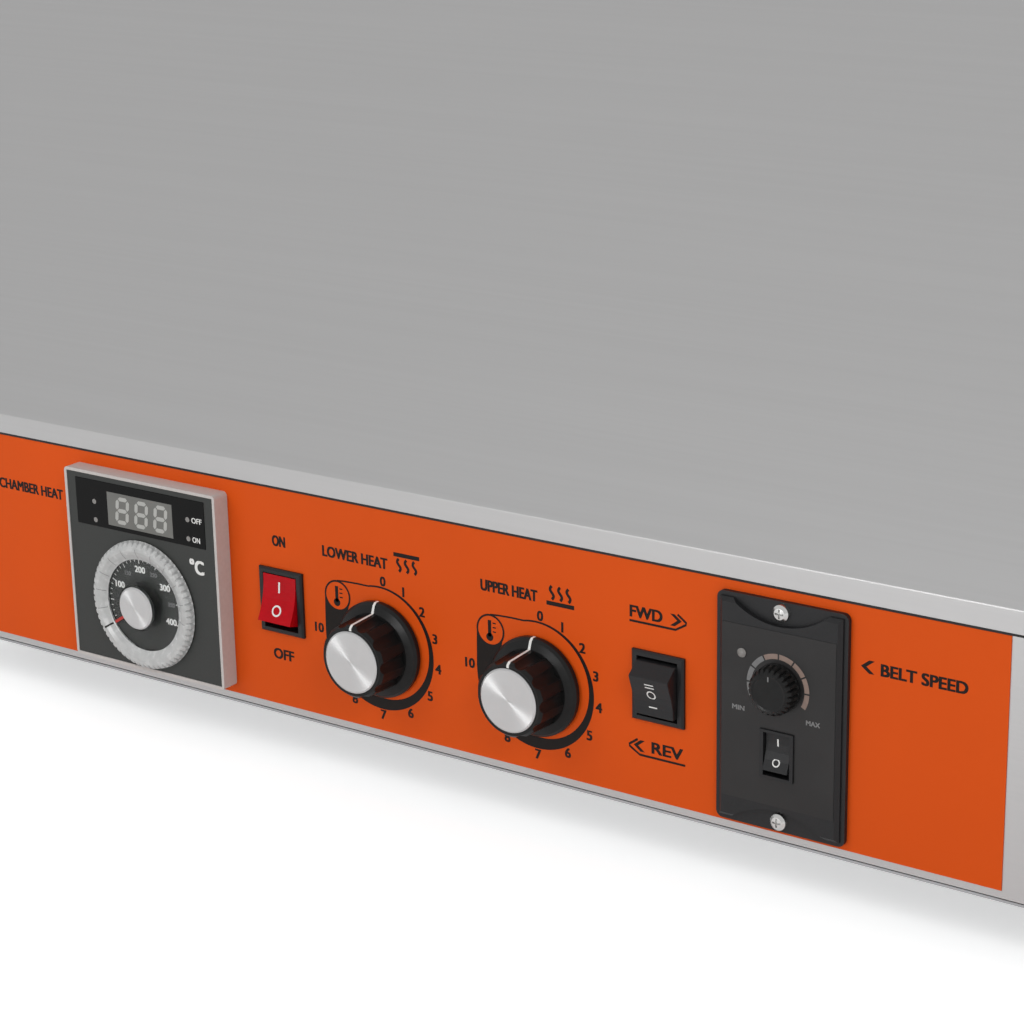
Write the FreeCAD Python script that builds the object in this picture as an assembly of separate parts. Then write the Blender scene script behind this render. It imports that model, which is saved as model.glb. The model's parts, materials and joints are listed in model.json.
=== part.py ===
import FreeCAD, Part
import math
import os

# Benchtop conveyor reflow oven. Millimetres, +X right, +Y back, +Z up.
# The source measures Y from the face of the front label; export moves all pieces
# so that the origin is under the middle of the whole object.

V = FreeCAD.Vector

# Body sheet metal
BODY_LENGTH = 690.0
SHEET = 1.2
HOOD_SLOPE = 64.0
FOOT_HEIGHT = 28.0
FOOT_RADIUS = 18.0
SEAM = 0.5
FIT_GAP = 0.2
PANEL_RIM = 0.9
LIP_HEIGHT = 9.5
LIP_PROUD = 0.8
LABEL_THICK = 0.4
LABEL_LENGTH = 561.6
LABEL_MARGIN = 3.0
LABEL_LIFT = 3.4

# Front controls: distance from the panel's middle, and drop under its level line
CONTROL_DROP = 1.1
THERMO_X = -160.5
THERMO_SIZE = 96.0
THERMO_PROUD = 9.0
DIAL_DROP = 13.9
DIAL_RADIUS = 32.0
DIAL_INNER = 22.8
DIAL_THICK = 3.4
DIAL_CAP_RADIUS = 10.5
POWER_X = -81.2
DIRECTION_X = 123.7
SWITCH_WIDTH = 25.6
SWITCH_HEIGHT = 31.4
SWITCH_PROUD = 2.0
LOWER_KNOB_X = -24.2
UPPER_KNOB_X = 61.3
KNOB_DROP = 11.7
KNOB_SKIRT_RADIUS = 22.7
KNOB_RADIUS = 17.2
KNOB_HEIGHT = 21.5
KNOB_CAP_RADIUS = 14.5
KNOB_LOBES = 10
SPINDLE_RADIUS = 3.0
SPEED_X = 182.9
SPEED_WIDTH = 60.0
SPEED_HEIGHT = 100.0
SPEED_KNOB_RISE = 14.1
SPEED_KNOB_RADIUS = 9.8
SPEED_ROCKER_DROP = 15.4

# Conveyor
BELT_WIDTH = 334.0
BELT_PITCH = 15.0
BELT_WIRE = 2.4
TEETH = 12
TOOTH_GAP = 0.4
TOOTH_HEIGHT = 2.4
RUN_PITCHES = 69
RAIL_SHEET = 2.0
RAIL_HEIGHT = 72.0
RAIL_FLANGE = 10.0
RAIL_OVERHANG = 36.0
SHAFT_RADIUS = 6.0
SHOULDER_RADIUS = 7.5
RUNNING_FIT = 0.05
SPROCKET_Y = 125.0

# Chamber
FLOOR_BOARD = 22.0
LINER = 1.0
BELT_FLOOR_GAP = 10.0
TUNNEL_CLEAR = 72.0
ROOF_BOARD = 52.0
FRONT_BOARD = 24.0
REAR_BOARD = 38.0
HEATER_RADIUS = 4.0
HEATER_COUNT = 6
HEATER_PITCH = 92.0
BAFFLE_TRAVEL = 45.0
GLAND_REACH = 24.0

# Derived levels
LABEL_HEIGHT = SPEED_HEIGHT + 2.0 * LABEL_MARGIN
PANEL_HEIGHT = LABEL_LIFT + LABEL_HEIGHT + PANEL_RIM
PANEL_BOTTOM = FOOT_HEIGHT + SHEET + SEAM
PANEL_TOP = PANEL_BOTTOM + PANEL_HEIGHT
LIP_BOTTOM = PANEL_TOP + SEAM
LIP_TOP = LIP_BOTTOM + LIP_HEIGHT
DECK_TOP = LIP_TOP - 3.0
FLOOR_TOP = DECK_TOP + FLOOR_BOARD + LINER
PITCH_RADIUS = BELT_PITCH / (2.0 * math.sin(math.pi / TEETH))
SHAFT_Z = FLOOR_TOP + BELT_FLOOR_GAP + BELT_WIRE / 2.0 + PITCH_RADIUS
BELT_TOP = SHAFT_Z + PITCH_RADIUS + BELT_WIRE / 2.0
RAIL_BOTTOM = SHAFT_Z - RAIL_HEIGHT / 2.0
RAIL_TOP = SHAFT_Z + RAIL_HEIGHT / 2.0
TUNNEL_TOP = BELT_TOP + TUNNEL_CLEAR
UPPER_HEATER_Z = TUNNEL_TOP + 12.0
LOWER_HEATER_Z = SHAFT_Z - 4.0
LINER_TOP = UPPER_HEATER_Z + 16.0
HOOD_TOP = LINER_TOP + ROOF_BOARD + 1.0 + SHEET

# Derived depths
TAN = math.tan(math.radians(HOOD_SLOPE))
SIN = math.sin(math.radians(HOOD_SLOPE))
LINER_FRONT = (LINER_TOP - LIP_TOP) / TAN + (FRONT_BOARD + SHEET) / SIN
RAIL_IN = BELT_WIDTH / 2.0 + 4.0
RAIL_OUT = RAIL_IN + RAIL_SHEET
LINER_HALF = RAIL_OUT + 7.0
MID_Y = LINER_FRONT + LINER_HALF
LINER_REAR = MID_Y + LINER_HALF
REAR_IN = LINER_REAR + REAR_BOARD + 1.0
REAR_OUT = REAR_IN + SHEET
HOOD_REAR = REAR_OUT + FIT_GAP + SHEET
PANEL_BACK = LABEL_THICK + SHEET
KNOB_FRONT = KNOB_HEIGHT + 0.8
Y_SHIFT = (KNOB_FRONT - REAR_OUT - GLAND_REACH) / 2.0

# Derived lengths
HALF = BODY_LENGTH / 2.0
INNER = HALF - SHEET - FIT_GAP
SHAFT_X = RUN_PITCHES * BELT_PITCH / 2.0
RAIL_END = SHAFT_X + RAIL_OVERHANG
MID_Z = PANEL_BOTTOM + LABEL_LIFT + LABEL_HEIGHT / 2.0 - CONTROL_DROP
KNOB_Z = MID_Z - KNOB_DROP
DIAL_Z = MID_Z - DIAL_DROP


def box(x0, x1, y0, y1, z0, z1):
    return Part.makeBox(x1 - x0, y1 - y0, z1 - z0, V(x0, y0, z0))


def rod_x(x0, x1, y, z, r):
    return Part.makeCylinder(r, x1 - x0, V(x0, y, z), V(1, 0, 0))


def rod_y(x, y0, y1, z, r):
    return Part.makeCylinder(r, y1 - y0, V(x, y0, z), V(0, 1, 0))


def rod_z(x, y, z0, z1, r):
    return Part.makeCylinder(r, z1 - z0, V(x, y, z0), V(0, 0, 1))


def prism_x(points, x0, x1):
    wire = Part.makePolygon([V(x0, y, z) for y, z in points + points[:1]])
    return Part.Face(wire).extrude(V(x1 - x0, 0, 0))


def prism_y(points, y0, y1):
    wire = Part.makePolygon([V(x, y0, z) for x, z in points + points[:1]])
    return Part.Face(wire).extrude(V(0, y1 - y0, 0))


def turned_y(points, x, z):
    # points are (radius, y); turned about the line along Y through x, z
    wire = Part.makePolygon([V(x + r, y, z) for r, y in points + points[:1]])
    return Part.Face(wire).revolve(V(x, 0, z), V(0, 1, 0), 360)


def slot_y(x, z, length, height, y0, y1):
    return box(x - length / 2.0, x + length / 2.0, y0, y1, z - height / 2.0, z + height / 2.0)


def hexagon_y(x, z, flats, y0, y1):
    r = flats / math.sqrt(3.0)
    points = []
    for i in range(6):
        a = math.radians(60 * i)
        points.append((x + r * math.cos(a), z + r * math.sin(a)))
    return prism_y(points, y0, y1)


def fused(shapes):
    return shapes[0].multiFuse(shapes[1:]).removeSplitter()


def minus(shape, tools):
    return shape.cut(Part.makeCompound(tools))


def group(shapes):
    return Part.makeCompound(shapes)


def both_sides(shape):
    other = shape.mirror(V(0, 0, 0), V(1, 0, 0))
    return group([shape, other])


def heater_xs():
    start = -HEATER_PITCH * (HEATER_COUNT - 1) / 2.0
    return [start + i * HEATER_PITCH for i in range(HEATER_COUNT)]


def hood_slope_y(z, inset):
    # Y of the hood's sloping face at height z, moved inwards by inset
    return (z - LIP_TOP) / TAN - LIP_PROUD + inset / SIN


def panel_openings(grow):
    body = THERMO_SIZE / 2.0 - 2.0 + grow
    tools = [box(THERMO_X - body, THERMO_X + body, -1, 4, MID_Z - body, MID_Z + body)]
    w = SWITCH_WIDTH / 2.0 - 1.6 + grow
    h = SWITCH_HEIGHT / 2.0 - 1.6 + grow
    for x in (POWER_X, DIRECTION_X):
        tools.append(box(x - w, x + w, -1, 4, MID_Z - h, MID_Z + h))
    for x in (LOWER_KNOB_X, UPPER_KNOB_X):
        tools.append(rod_y(x, -1, 4, KNOB_Z, SPINDLE_RADIUS + 2.3 + grow))
    w = SPEED_WIDTH / 2.0 - 4.0 + grow
    h = SPEED_HEIGHT / 2.0 - 10.0 + grow
    tools.append(box(SPEED_X - w, SPEED_X + w, -1, 4, MID_Z - h, MID_Z + h))
    for s in (-1, 1):
        tools.append(rod_y(SPEED_X, -1, 4, MID_Z + s * (SPEED_HEIGHT / 2.0 - 4.6), 1.9 + grow))
    return tools


def front_panel():
    plate = box(-HALF, HALF, LABEL_THICK, PANEL_BACK, PANEL_BOTTOM, PANEL_TOP)
    edge = INNER - SHEET - FIT_GAP
    top = box(-edge, edge, PANEL_BACK, PANEL_BACK + 12, PANEL_TOP - SHEET, PANEL_TOP)
    low = box(-edge, edge, PANEL_BACK, PANEL_BACK + 12, PANEL_BOTTOM, PANEL_BOTTOM + SHEET)
    body = fused([plate, top, low])
    tools = panel_openings(0.0)
    # shallow air notches along the upper edge
    for i in (-1, 0, 1):
        x = 74.0 + i * 167.0
        tools.append(box(x - 20, x + 20, -1, PANEL_BACK + 6, PANEL_TOP - 0.7, PANEL_TOP + 1))
    return minus(body, tools)


def panel_label():
    z = PANEL_BOTTOM + LABEL_LIFT
    film = box(-LABEL_LENGTH / 2.0, LABEL_LENGTH / 2.0, 0, LABEL_THICK, z, z + LABEL_HEIGHT)
    return minus(film, panel_openings(0.3))


def hood_path(inset):
    # section of the hood, moved inwards by inset: lip, slope, roof, rear flange
    y0 = inset - LIP_PROUD
    top = HOOD_TOP - inset
    bend = LIP_TOP + (y0 + LIP_PROUD - inset / SIN) * TAN
    rear = HOOD_REAR - inset
    front = [(y0, LIP_BOTTOM), (y0, bend), (hood_slope_y(top, inset), top)]
    return front + [(rear, top), (rear, HOOD_TOP - 22)]


def hood_cover():
    outline = hood_path(0.0) + hood_path(SHEET)[::-1]
    shell = prism_x(outline, -HALF, HALF)
    corners = hood_path(0.0)[1:4]
    bends = []
    for edge in shell.Edges:
        a = edge.Vertexes[0].Point
        if abs(edge.Length - BODY_LENGTH) < 0.01:
            for y, z in corners:
                if abs(a.y - y) < 0.01 and abs(a.z - z) < 0.01:
                    bends.append(edge)
    return shell.makeFillet(1.8, bends)


def end_plate(side):
    path = hood_path(SHEET + FIT_GAP)
    low = FOOT_HEIGHT + SHEET + FIT_GAP
    front = PANEL_BACK + FIT_GAP
    bend_z = LIP_TOP + (front + LIP_PROUD - (SHEET + FIT_GAP) / SIN) * TAN
    outline = [(front, low), (front, bend_z), path[2], (REAR_OUT, path[3][1]), (REAR_OUT, low)]
    x0 = HALF - SHEET
    plate = prism_x(outline, x0, HALF)
    wide = RAIL_OUT + 3.0
    narrow = RAIL_OUT - 8.0
    step = RAIL_TOP + 4.0
    lower = box(x0 - 1, HALF + 1, MID_Y - wide, MID_Y + wide, RAIL_BOTTOM - 3.0, step)
    upper = box(x0 - 1, HALF + 1, MID_Y - narrow, MID_Y + narrow, step - 1, TUNNEL_TOP)
    tools = [lower, upper]
    for y in baffle_screw_ys():
        tools.append(rod_x(x0 - 1, HALF + 1, y, baffle_screw_z(), 2.6))
    for y, z in end_screw_points():
        tools.append(rod_x(x0 - 1, HALF + 1, y, z, 2.1))
    plate = minus(plate, tools)
    if side < 0:
        plate = plate.mirror(V(0, 0, 0), V(1, 0, 0))
    return plate


def end_screw_points():
    low = FOOT_HEIGHT + SHEET + 12.0
    return [(60.0, low), (REAR_OUT / 2.0, low), (REAR_OUT - 60.0, low)]


def baffle_screw_ys():
    return [MID_Y - RAIL_OUT + 30.0, MID_Y + RAIL_OUT - 30.0]


def baffle_screw_z():
    return TUNNEL_TOP + 18.0


def rear_panel():
    top = HOOD_TOP - SHEET - 2 * FIT_GAP
    low = FOOT_HEIGHT + SHEET + FIT_GAP
    plate = box(-INNER, INNER, REAR_IN, REAR_OUT, low, top)
    tools = [rod_y(gland_x(), REAR_IN - 1, REAR_OUT + 1, gland_z(), 10.0)]
    for i in range(-3, 4):
        half = math.sqrt(42.0 ** 2 - (11.0 * i) ** 2)
        tools.append(slot_y(fan_x(), fan_z() + 11.0 * i, 2 * half, 6.0, REAR_IN - 1, REAR_OUT + 1))
    for i in range(-2, 3):
        for x in (-60.0, 20.0):
            tools.append(slot_y(x, fan_z() + 14.0 * i, 60.0, 4.0, REAR_IN - 1, REAR_OUT + 1))
    return minus(plate, tools)


def fan_x():
    return INNER - 110.0


def fan_z():
    return (FOOT_HEIGHT + SHEET + DECK_TOP - SHEET) / 2.0


def gland_x():
    return 70.0 - INNER


def gland_z():
    return fan_z() - 10.0


def base_pan():
    z0 = FOOT_HEIGHT
    z1 = z0 + SHEET
    plate = box(-HALF, HALF, LABEL_THICK + 0.2, REAR_OUT, z0, z1)
    wall = INNER
    left = box(-wall, SHEET - wall, 18, REAR_IN - 4, z1, z1 + 20)
    right = box(wall - SHEET, wall, 18, REAR_IN - 4, z1, z1 + 20)
    tools = []
    for x, y in foot_points():
        tools.append(rod_z(x, y, z0 - 1, z1 + 1, 2.7))
    for i in range(-3, 4):
        for y in (REAR_OUT * 0.4, REAR_OUT * 0.6):
            tools.append(box(i * 60.0 - 20, i * 60.0 + 20, y - 3, y + 3, z0 - 1, z1 + 1))
    for y, z in end_screw_points():
        tools.append(rod_x(-HALF, HALF, y, z, 2.1))
    return minus(fused([plate, left, right]), tools)


def foot_points():
    x = HALF - 45.0
    return [(sx * x, y) for sx in (-1, 1) for y in (80.0, REAR_OUT - 70.0)]


def feet():
    out = []
    for x, y in foot_points():
        pad = Part.makeCone(FOOT_RADIUS - 3.0, FOOT_RADIUS, FOOT_HEIGHT, V(x, y, 0))
        well = rod_z(x, y, -1, FOOT_HEIGHT - 10.0, 6.0)
        hole = rod_z(x, y, 1, FOOT_HEIGHT + 1, 2.7)
        out.append(minus(pad, [well, hole]))
    return group(out)


def foot_screws():
    out = []
    top = FOOT_HEIGHT + SHEET
    for x, y in foot_points():
        head = rod_z(x, y, FOOT_HEIGHT - 13.0, FOOT_HEIGHT - 10.0, 4.5)
        shank = rod_z(x, y, FOOT_HEIGHT - 11.0, top + 6.0, 2.5)
        nut = rod_z(x, y, top, top + 4.0, 4.5)
        out.append(fused([head, shank, nut]))
    return group(out)


def cover_screws():
    # pan-head screws that hold the end plates to the base pan
    out = []
    for y, z in end_screw_points():
        head = rod_x(HALF, HALF + 2.4, y, z, 4.0)
        shank = rod_x(INNER - SHEET - 5, HALF + 1, y, z, 2.0)
        out.append(fused([head, shank]))
    return both_sides(group(out))


def deck_plate():
    return box(-INNER, INNER, PANEL_BACK + 1.0, REAR_IN - FIT_GAP, DECK_TOP - SHEET, DECK_TOP)


def chamber_liner():
    x = INNER - FIT_GAP
    low = DECK_TOP
    front = box(-x, x, LINER_FRONT, LINER_FRONT + LINER, low, LINER_TOP)
    rear = box(-x, x, LINER_REAR - LINER, LINER_REAR, low, LINER_TOP)
    roof = box(-x, x, LINER_FRONT, LINER_REAR, LINER_TOP - LINER, LINER_TOP)
    foot1 = box(-x, x, LINER_FRONT - 12, LINER_FRONT, low, low + LINER)
    foot2 = box(-x, x, LINER_REAR, LINER_REAR + 12, low, low + LINER)
    tools = []
    for x in heater_xs():
        for z in (UPPER_HEATER_Z, LOWER_HEATER_Z):
            tools.append(rod_y(x, LINER_FRONT - 1, LINER_REAR + 1, z, 6.1))
    tools.append(rod_y(probe_x(), LINER_REAR - 3, LINER_REAR + 1, probe_z(), 2.2))
    return minus(fused([front, rear, roof, foot1, foot2]), tools)


def probe_x():
    # halfway between two heaters
    return heater_xs()[1] + HEATER_PITCH / 2.0


def probe_z():
    return UPPER_HEATER_Z - 2.0


def crumb_tray():
    x = INNER - 1.0
    y0 = LINER_FRONT + LINER + FIT_GAP
    y1 = LINER_REAR - LINER - FIT_GAP
    return box(-x, x, y0, y1, FLOOR_TOP - LINER, FLOOR_TOP)


def floor_insulation():
    x = INNER - 1.0
    y0 = LINER_FRONT + LINER + FIT_GAP
    y1 = LINER_REAR - LINER - FIT_GAP
    return box(-x, x, y0, y1, DECK_TOP, FLOOR_TOP - LINER)


def heater_pockets(y0, y1):
    out = []
    for x in heater_xs():
        for z in (UPPER_HEATER_Z, LOWER_HEATER_Z):
            out.append(rod_y(x, y0, y1, z, 10.5))
    return out


def wall_insulation():
    x = INNER - 1.0
    low = DECK_TOP + LINER + FIT_GAP
    top = LINER_TOP
    inset = SHEET + 1.0
    y1 = LINER_FRONT - FIT_GAP
    outline = [(hood_slope_y(low, inset), low), (hood_slope_y(top, inset), top), (y1, top), (y1, low)]
    front = minus(prism_x(outline, -x, x), heater_pockets(y1 - 22, y1 + 1))
    y0 = LINER_REAR + FIT_GAP
    rear = box(-x, x, y0, REAR_IN - FIT_GAP, low, top)
    tools = heater_pockets(y0 - 1, y0 + 22)
    tools.append(rod_y(probe_x(), y0 - 1, y0 + 20, probe_z(), 6.0))
    return group([front, minus(rear, tools)])


def roof_insulation():
    x = INNER - 1.0
    low = LINER_TOP + FIT_GAP
    top = HOOD_TOP - SHEET - 0.6
    inset = SHEET + 1.0
    y1 = REAR_IN - FIT_GAP
    outline = [(hood_slope_y(low, inset), low), (hood_slope_y(top, inset), top), (y1, top), (y1, low)]
    return prism_x(outline, -x, x)


def heaters(z):
    out = []
    y0 = LINER_FRONT - 14.0
    y1 = LINER_REAR + 14.0
    for x in heater_xs():
        tube = rod_y(x, y0, y1, z, HEATER_RADIUS)
        stud = rod_y(x, y0 - 6, y1 + 6, z, 1.8)
        out.append(fused([tube, stud]))
    return group(out)


def heater_insulators():
    out = []
    r = HEATER_RADIUS
    for x in heater_xs():
        for z in (UPPER_HEATER_Z, LOWER_HEATER_Z):
            y = LINER_FRONT
            out.append(turned_y([(r, y - 5), (9, y - 5), (9, y), (6, y), (6, y + 4), (r, y + 4)], x, z))
            y = LINER_REAR
            out.append(turned_y([(r, y + 5), (9, y + 5), (9, y), (6, y), (6, y - 4), (r, y - 4)], x, z))
    return group(out)


def thermocouple():
    y = LINER_REAR
    rod = rod_y(probe_x(), y - 80, y + 16, probe_z(), 2.0)
    head = rod_y(probe_x(), y, y + 6, probe_z(), 5.0)
    return fused([rod, head])


def rail(side):
    a = RAIL_IN
    b = RAIL_OUT
    c = RAIL_OUT - RAIL_FLANGE
    z0 = RAIL_BOTTOM
    z1 = RAIL_TOP
    t = RAIL_SHEET
    section = [(b, z0), (b, z1), (c, z1), (c, z1 - t), (a, z1 - t), (a, z0 + t), (c, z0 + t), (c, z0)]
    section = [(MID_Y + side * y, z) for y, z in section]
    channel = prism_x(section, -RAIL_END, RAIL_END)
    y = MID_Y + side * (a + b) / 2.0
    tools = []
    for x in (-SHAFT_X, SHAFT_X):
        tools.append(rod_y(x, y - 4, y + 4, SHAFT_Z, 8.0))
    for x in heater_xs():
        tools.append(rod_y(x, y - 4, y + 4, LOWER_HEATER_Z, HEATER_RADIUS + 2.5))
    for x in spacer_xs():
        tools.append(rod_y(x, y - 4, y + 4, spacer_z(), 3.1))
    return minus(channel, tools)


def spacer_xs():
    far = SHAFT_X - 60.0
    near = HALF + 30.0
    return [-far, -near, near, far]


def spacer_z():
    return SHAFT_Z


def rail_spacers():
    # tubes between the rails, with a screwed end through each rail
    out = []
    for x in spacer_xs():
        tube = rod_y(x, MID_Y - RAIL_IN, MID_Y + RAIL_IN, spacer_z(), 6.0)
        stud = rod_y(x, MID_Y - RAIL_OUT - 4, MID_Y + RAIL_OUT + 4, spacer_z(), 3.0)
        nut1 = hexagon_y(x, spacer_z(), 10.0, MID_Y - RAIL_OUT - 3.5, MID_Y - RAIL_OUT)
        nut2 = hexagon_y(x, spacer_z(), 10.0, MID_Y + RAIL_OUT, MID_Y + RAIL_OUT + 3.5)
        out.append(fused([tube, stud, nut1, nut2]))
    return group(out)


def belt_slides():
    # bars on edge that carry the upper run of the belt
    out = []
    x = SHAFT_X - PITCH_RADIUS - 8.0
    top = SHAFT_Z + PITCH_RADIUS - BELT_WIRE / 2.0 - FIT_GAP
    for y in (-62.0, 62.0):
        out.append(box(-x, x, MID_Y + y - 1.5, MID_Y + y + 1.5, spacer_z() + 6.0, top))
    return group(out)


def rail_brackets():
    out = []
    for side in (-1, 1):
        y0 = MID_Y + side * RAIL_OUT
        y1 = y0 + side * 24.0
        y2 = y0 + side * 2.0
        flat = box(HALF, HALF + 2, min(y0, y1), max(y0, y1), SHAFT_Z - 18, SHAFT_Z + 18)
        wing = box(HALF, HALF + 20, min(y0, y2), max(y0, y2), SHAFT_Z - 18, SHAFT_Z + 18)
        out.append(fused([flat, wing]))
    return both_sides(group(out))


def shaft_bushes():
    out = []
    r = SHAFT_RADIUS + RUNNING_FIT
    for x in (-SHAFT_X, SHAFT_X):
        for side in (-1, 1):
            a = MID_Y + side * (RAIL_IN - 1.5)
            b = MID_Y + side * RAIL_OUT
            c = MID_Y + side * (RAIL_OUT + 2.0)
            out.append(turned_y([(r, a), (8.0, a), (8.0, b), (11.0, b), (11.0, c), (r, c)], x, SHAFT_Z))
    return group(out)


def shaft(x, rear_end):
    y = RAIL_IN - 2.0
    body = rod_y(x, MID_Y - y, MID_Y + y, SHAFT_Z, SHOULDER_RADIUS)
    journal = rod_y(x, MID_Y - RAIL_OUT - 4, MID_Y + rear_end, SHAFT_Z, SHAFT_RADIUS)
    return fused([body, journal])


def sprocket(x, y):
    # the tips run just inside the belt's wires
    tip = PITCH_RADIUS - BELT_WIRE / 2.0 - TOOTH_GAP
    inner = tip - TOOTH_HEIGHT
    points = []
    step = 2.0 * math.pi / TEETH
    for i in range(TEETH):
        a = (i + 0.5) * step
        flank = ((-0.48, inner), (-0.24, inner), (-0.13, tip), (0.13, tip), (0.24, inner), (0.48, inner))
        for da, r in flank:
            t = a + da * step
            points.append((x + r * math.cos(t), SHAFT_Z + r * math.sin(t)))
    wheel = prism_y(points, y - 2.5, y + 2.5)
    hub = rod_y(x, y - 7, y + 7, SHAFT_Z, 13.0)
    tools = [rod_y(x, y - 8, y + 8, SHAFT_Z, SHOULDER_RADIUS)]
    for i in range(4):
        a = math.radians(45 + 90 * i)
        tools.append(rod_y(x + 19.5 * math.cos(a), y - 8, y + 8, SHAFT_Z + 19.5 * math.sin(a), 4.0))
    return minus(fused([wheel, hub]), tools)


def sprockets(x):
    return group([sprocket(x, MID_Y - SPROCKET_Y), sprocket(x, MID_Y + SPROCKET_Y)])


def belt_run(z):
    # one straight run as a flat net: two rows of gaps between cross wires
    half = BELT_WIRE / 2.0
    edge = BELT_WIDTH / 2.0
    outer = Part.Wire(Part.makePolygon(belt_rect(-SHAFT_X, SHAFT_X, -edge, edge, z)))
    holes = []
    side = BELT_WIDTH / 2.0 - 4.0
    for i in range(RUN_PITCHES):
        x0 = -SHAFT_X + i * BELT_PITCH + half
        x1 = x0 + BELT_PITCH - BELT_WIRE
        for y0, y1 in ((-side, -2.0), (2.0, side)):
            holes.append(Part.Wire(Part.makePolygon(belt_rect(x0, x1, y0, y1, z))))
    net = Part.makeFace([outer] + holes, "Part::FaceMakerBullseye")
    return net.extrude(V(0, 0, BELT_WIRE))


def belt_rect(x0, x1, y0, y1, z):
    corners = [(x0, y0), (x1, y0), (x1, y1), (x0, y1), (x0, y0)]
    return [V(x, MID_Y + y, z - BELT_WIRE / 2.0) for x, y in corners]


def belt_end(side):
    # half turn round the sprockets: edge and middle bands, then cross wires
    half = BELT_WIRE / 2.0
    out = []
    x = side * SHAFT_X
    start = -90 if side > 0 else 90
    edge = BELT_WIDTH / 2.0
    for y0, y1 in ((-edge, 4.0 - edge), (-2.0, 2.0), (edge - 4.0, edge)):
        big = Part.makeCylinder(PITCH_RADIUS + half, y1 - y0, V(x, MID_Y + y0, SHAFT_Z), V(0, 1, 0))
        small = Part.makeCylinder(PITCH_RADIUS - half, y1 - y0, V(x, MID_Y + y0, SHAFT_Z), V(0, 1, 0))
        far = x + side * 100.0
        keep = box(min(x, far), max(x, far), MID_Y + y0, MID_Y + y1, SHAFT_Z - 100, SHAFT_Z + 100)
        out.append(big.cut(small).common(keep))
    for i in range(1, TEETH // 2):
        a = math.radians(start + i * 360.0 / TEETH)
        wire = box(-half, half, MID_Y - edge, MID_Y + edge, -half, half)
        wire.rotate(V(0, 0, 0), V(0, 1, 0), -math.degrees(a))
        wire.translate(V(x + PITCH_RADIUS * math.cos(a), 0, SHAFT_Z + PITCH_RADIUS * math.sin(a)))
        out.append(wire)
    for z in (-PITCH_RADIUS, PITCH_RADIUS):
        mid = SHAFT_Z + z
        out.append(box(x - half, x + half, MID_Y - edge, MID_Y + edge, mid - half, mid + half))
    return out


def mesh_belt():
    pieces = [belt_run(SHAFT_Z + PITCH_RADIUS), belt_run(SHAFT_Z - PITCH_RADIUS)]
    pieces += belt_end(1)
    pieces += belt_end(-1)
    return fused(pieces)


def lower_reflector():
    # shallow tray between the two belt runs, under the lower heaters
    x = INNER - 20.0
    z = LOWER_HEATER_Z - 13.0
    y = RAIL_IN - FIT_GAP
    low = box(-x, x, MID_Y - y, MID_Y + y, z, z + LINER)
    front = box(-x, x, MID_Y - y, MID_Y - y + LINER, z, z + 5)
    rear = box(-x, x, MID_Y + y - LINER, MID_Y + y, z, z + 5)
    return fused([low, front, rear])


def gear_motor():
    # right-angle gear motor on the rear rail, driving the right-hand shaft
    y0 = MID_Y + RAIL_OUT + 3.0
    y1 = REAR_OUT - 4.0
    x = SHAFT_X
    gearbox = box(x - 26, x + 24, y0, y1, SHAFT_Z - 26, SHAFT_Z + 26)
    ym = (y0 + y1) / 2.0
    motor = rod_x(x - 106, x - 26, ym, SHAFT_Z, 17.5)
    cap = rod_x(x - 112, x - 106, ym, SHAFT_Z, 12.0)
    flange = box(x - 31, x - 26, y0 + 1, y1 - 1, SHAFT_Z - 20, SHAFT_Z + 20)
    parts = [gearbox, motor, cap, flange]
    for dx in (-22, 20):
        for dz in (-22, 22):
            parts.append(rod_y(x + dx, y0 - 3.0 + 0.1, y0 + 1, SHAFT_Z + dz, 4.0))
    bore = rod_y(x, y0 - 1, y1 - 6, SHAFT_Z, SHAFT_RADIUS + RUNNING_FIT)
    return minus(fused(parts), [bore])


def motor_cover():
    x0 = HALF + FIT_GAP
    x1 = RAIL_END - 8.0
    y0 = MID_Y + RAIL_OUT + FIT_GAP
    z0 = RAIL_BOTTOM + 2.0
    z1 = RAIL_TOP - 2.0
    outer = box(x0, x1, y0, REAR_OUT, z0, z1)
    rear = [e for e in outer.Edges if e.BoundBox.XMin > x1 - 0.01 and e.BoundBox.YMin > REAR_OUT - 0.01]
    outer = outer.makeFillet(3.0, rear)
    inner = box(x0 - 1, x1 - SHEET, y0 - 1, REAR_OUT - SHEET, z0 + SHEET, z1 - SHEET)
    tools = [inner]
    for i in range(5):
        x = HALF + 40.0 + i * 12.0
        tools.append(box(x, x + 5, REAR_OUT - 3, REAR_OUT + 1, SHAFT_Z - 18, SHAFT_Z + 18))
    return minus(outer, tools)


def baffle():
    # sliding door over the right-hand tunnel mouth, at its raised stop
    y0 = MID_Y - RAIL_OUT + 2.0
    y1 = MID_Y + RAIL_OUT - 2.0
    z0 = TUNNEL_TOP + 1.0
    z1 = z0 + BAFFLE_TRAVEL + 34.0
    x0 = HALF + 0.3
    plate = box(x0, x0 + SHEET, y0, y1, z0, z1)
    lip = box(x0, x0 + 12.0, y0, y1, z0, z0 + SHEET)
    tools = []
    z = baffle_screw_z()
    for y in baffle_screw_ys():
        tools.append(box(x0 - 1, x0 + 3, y - 3.0, y + 3.0, z - 3.0, z + BAFFLE_TRAVEL + 3.0))
    return minus(fused([plate, lip]), tools)


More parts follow.
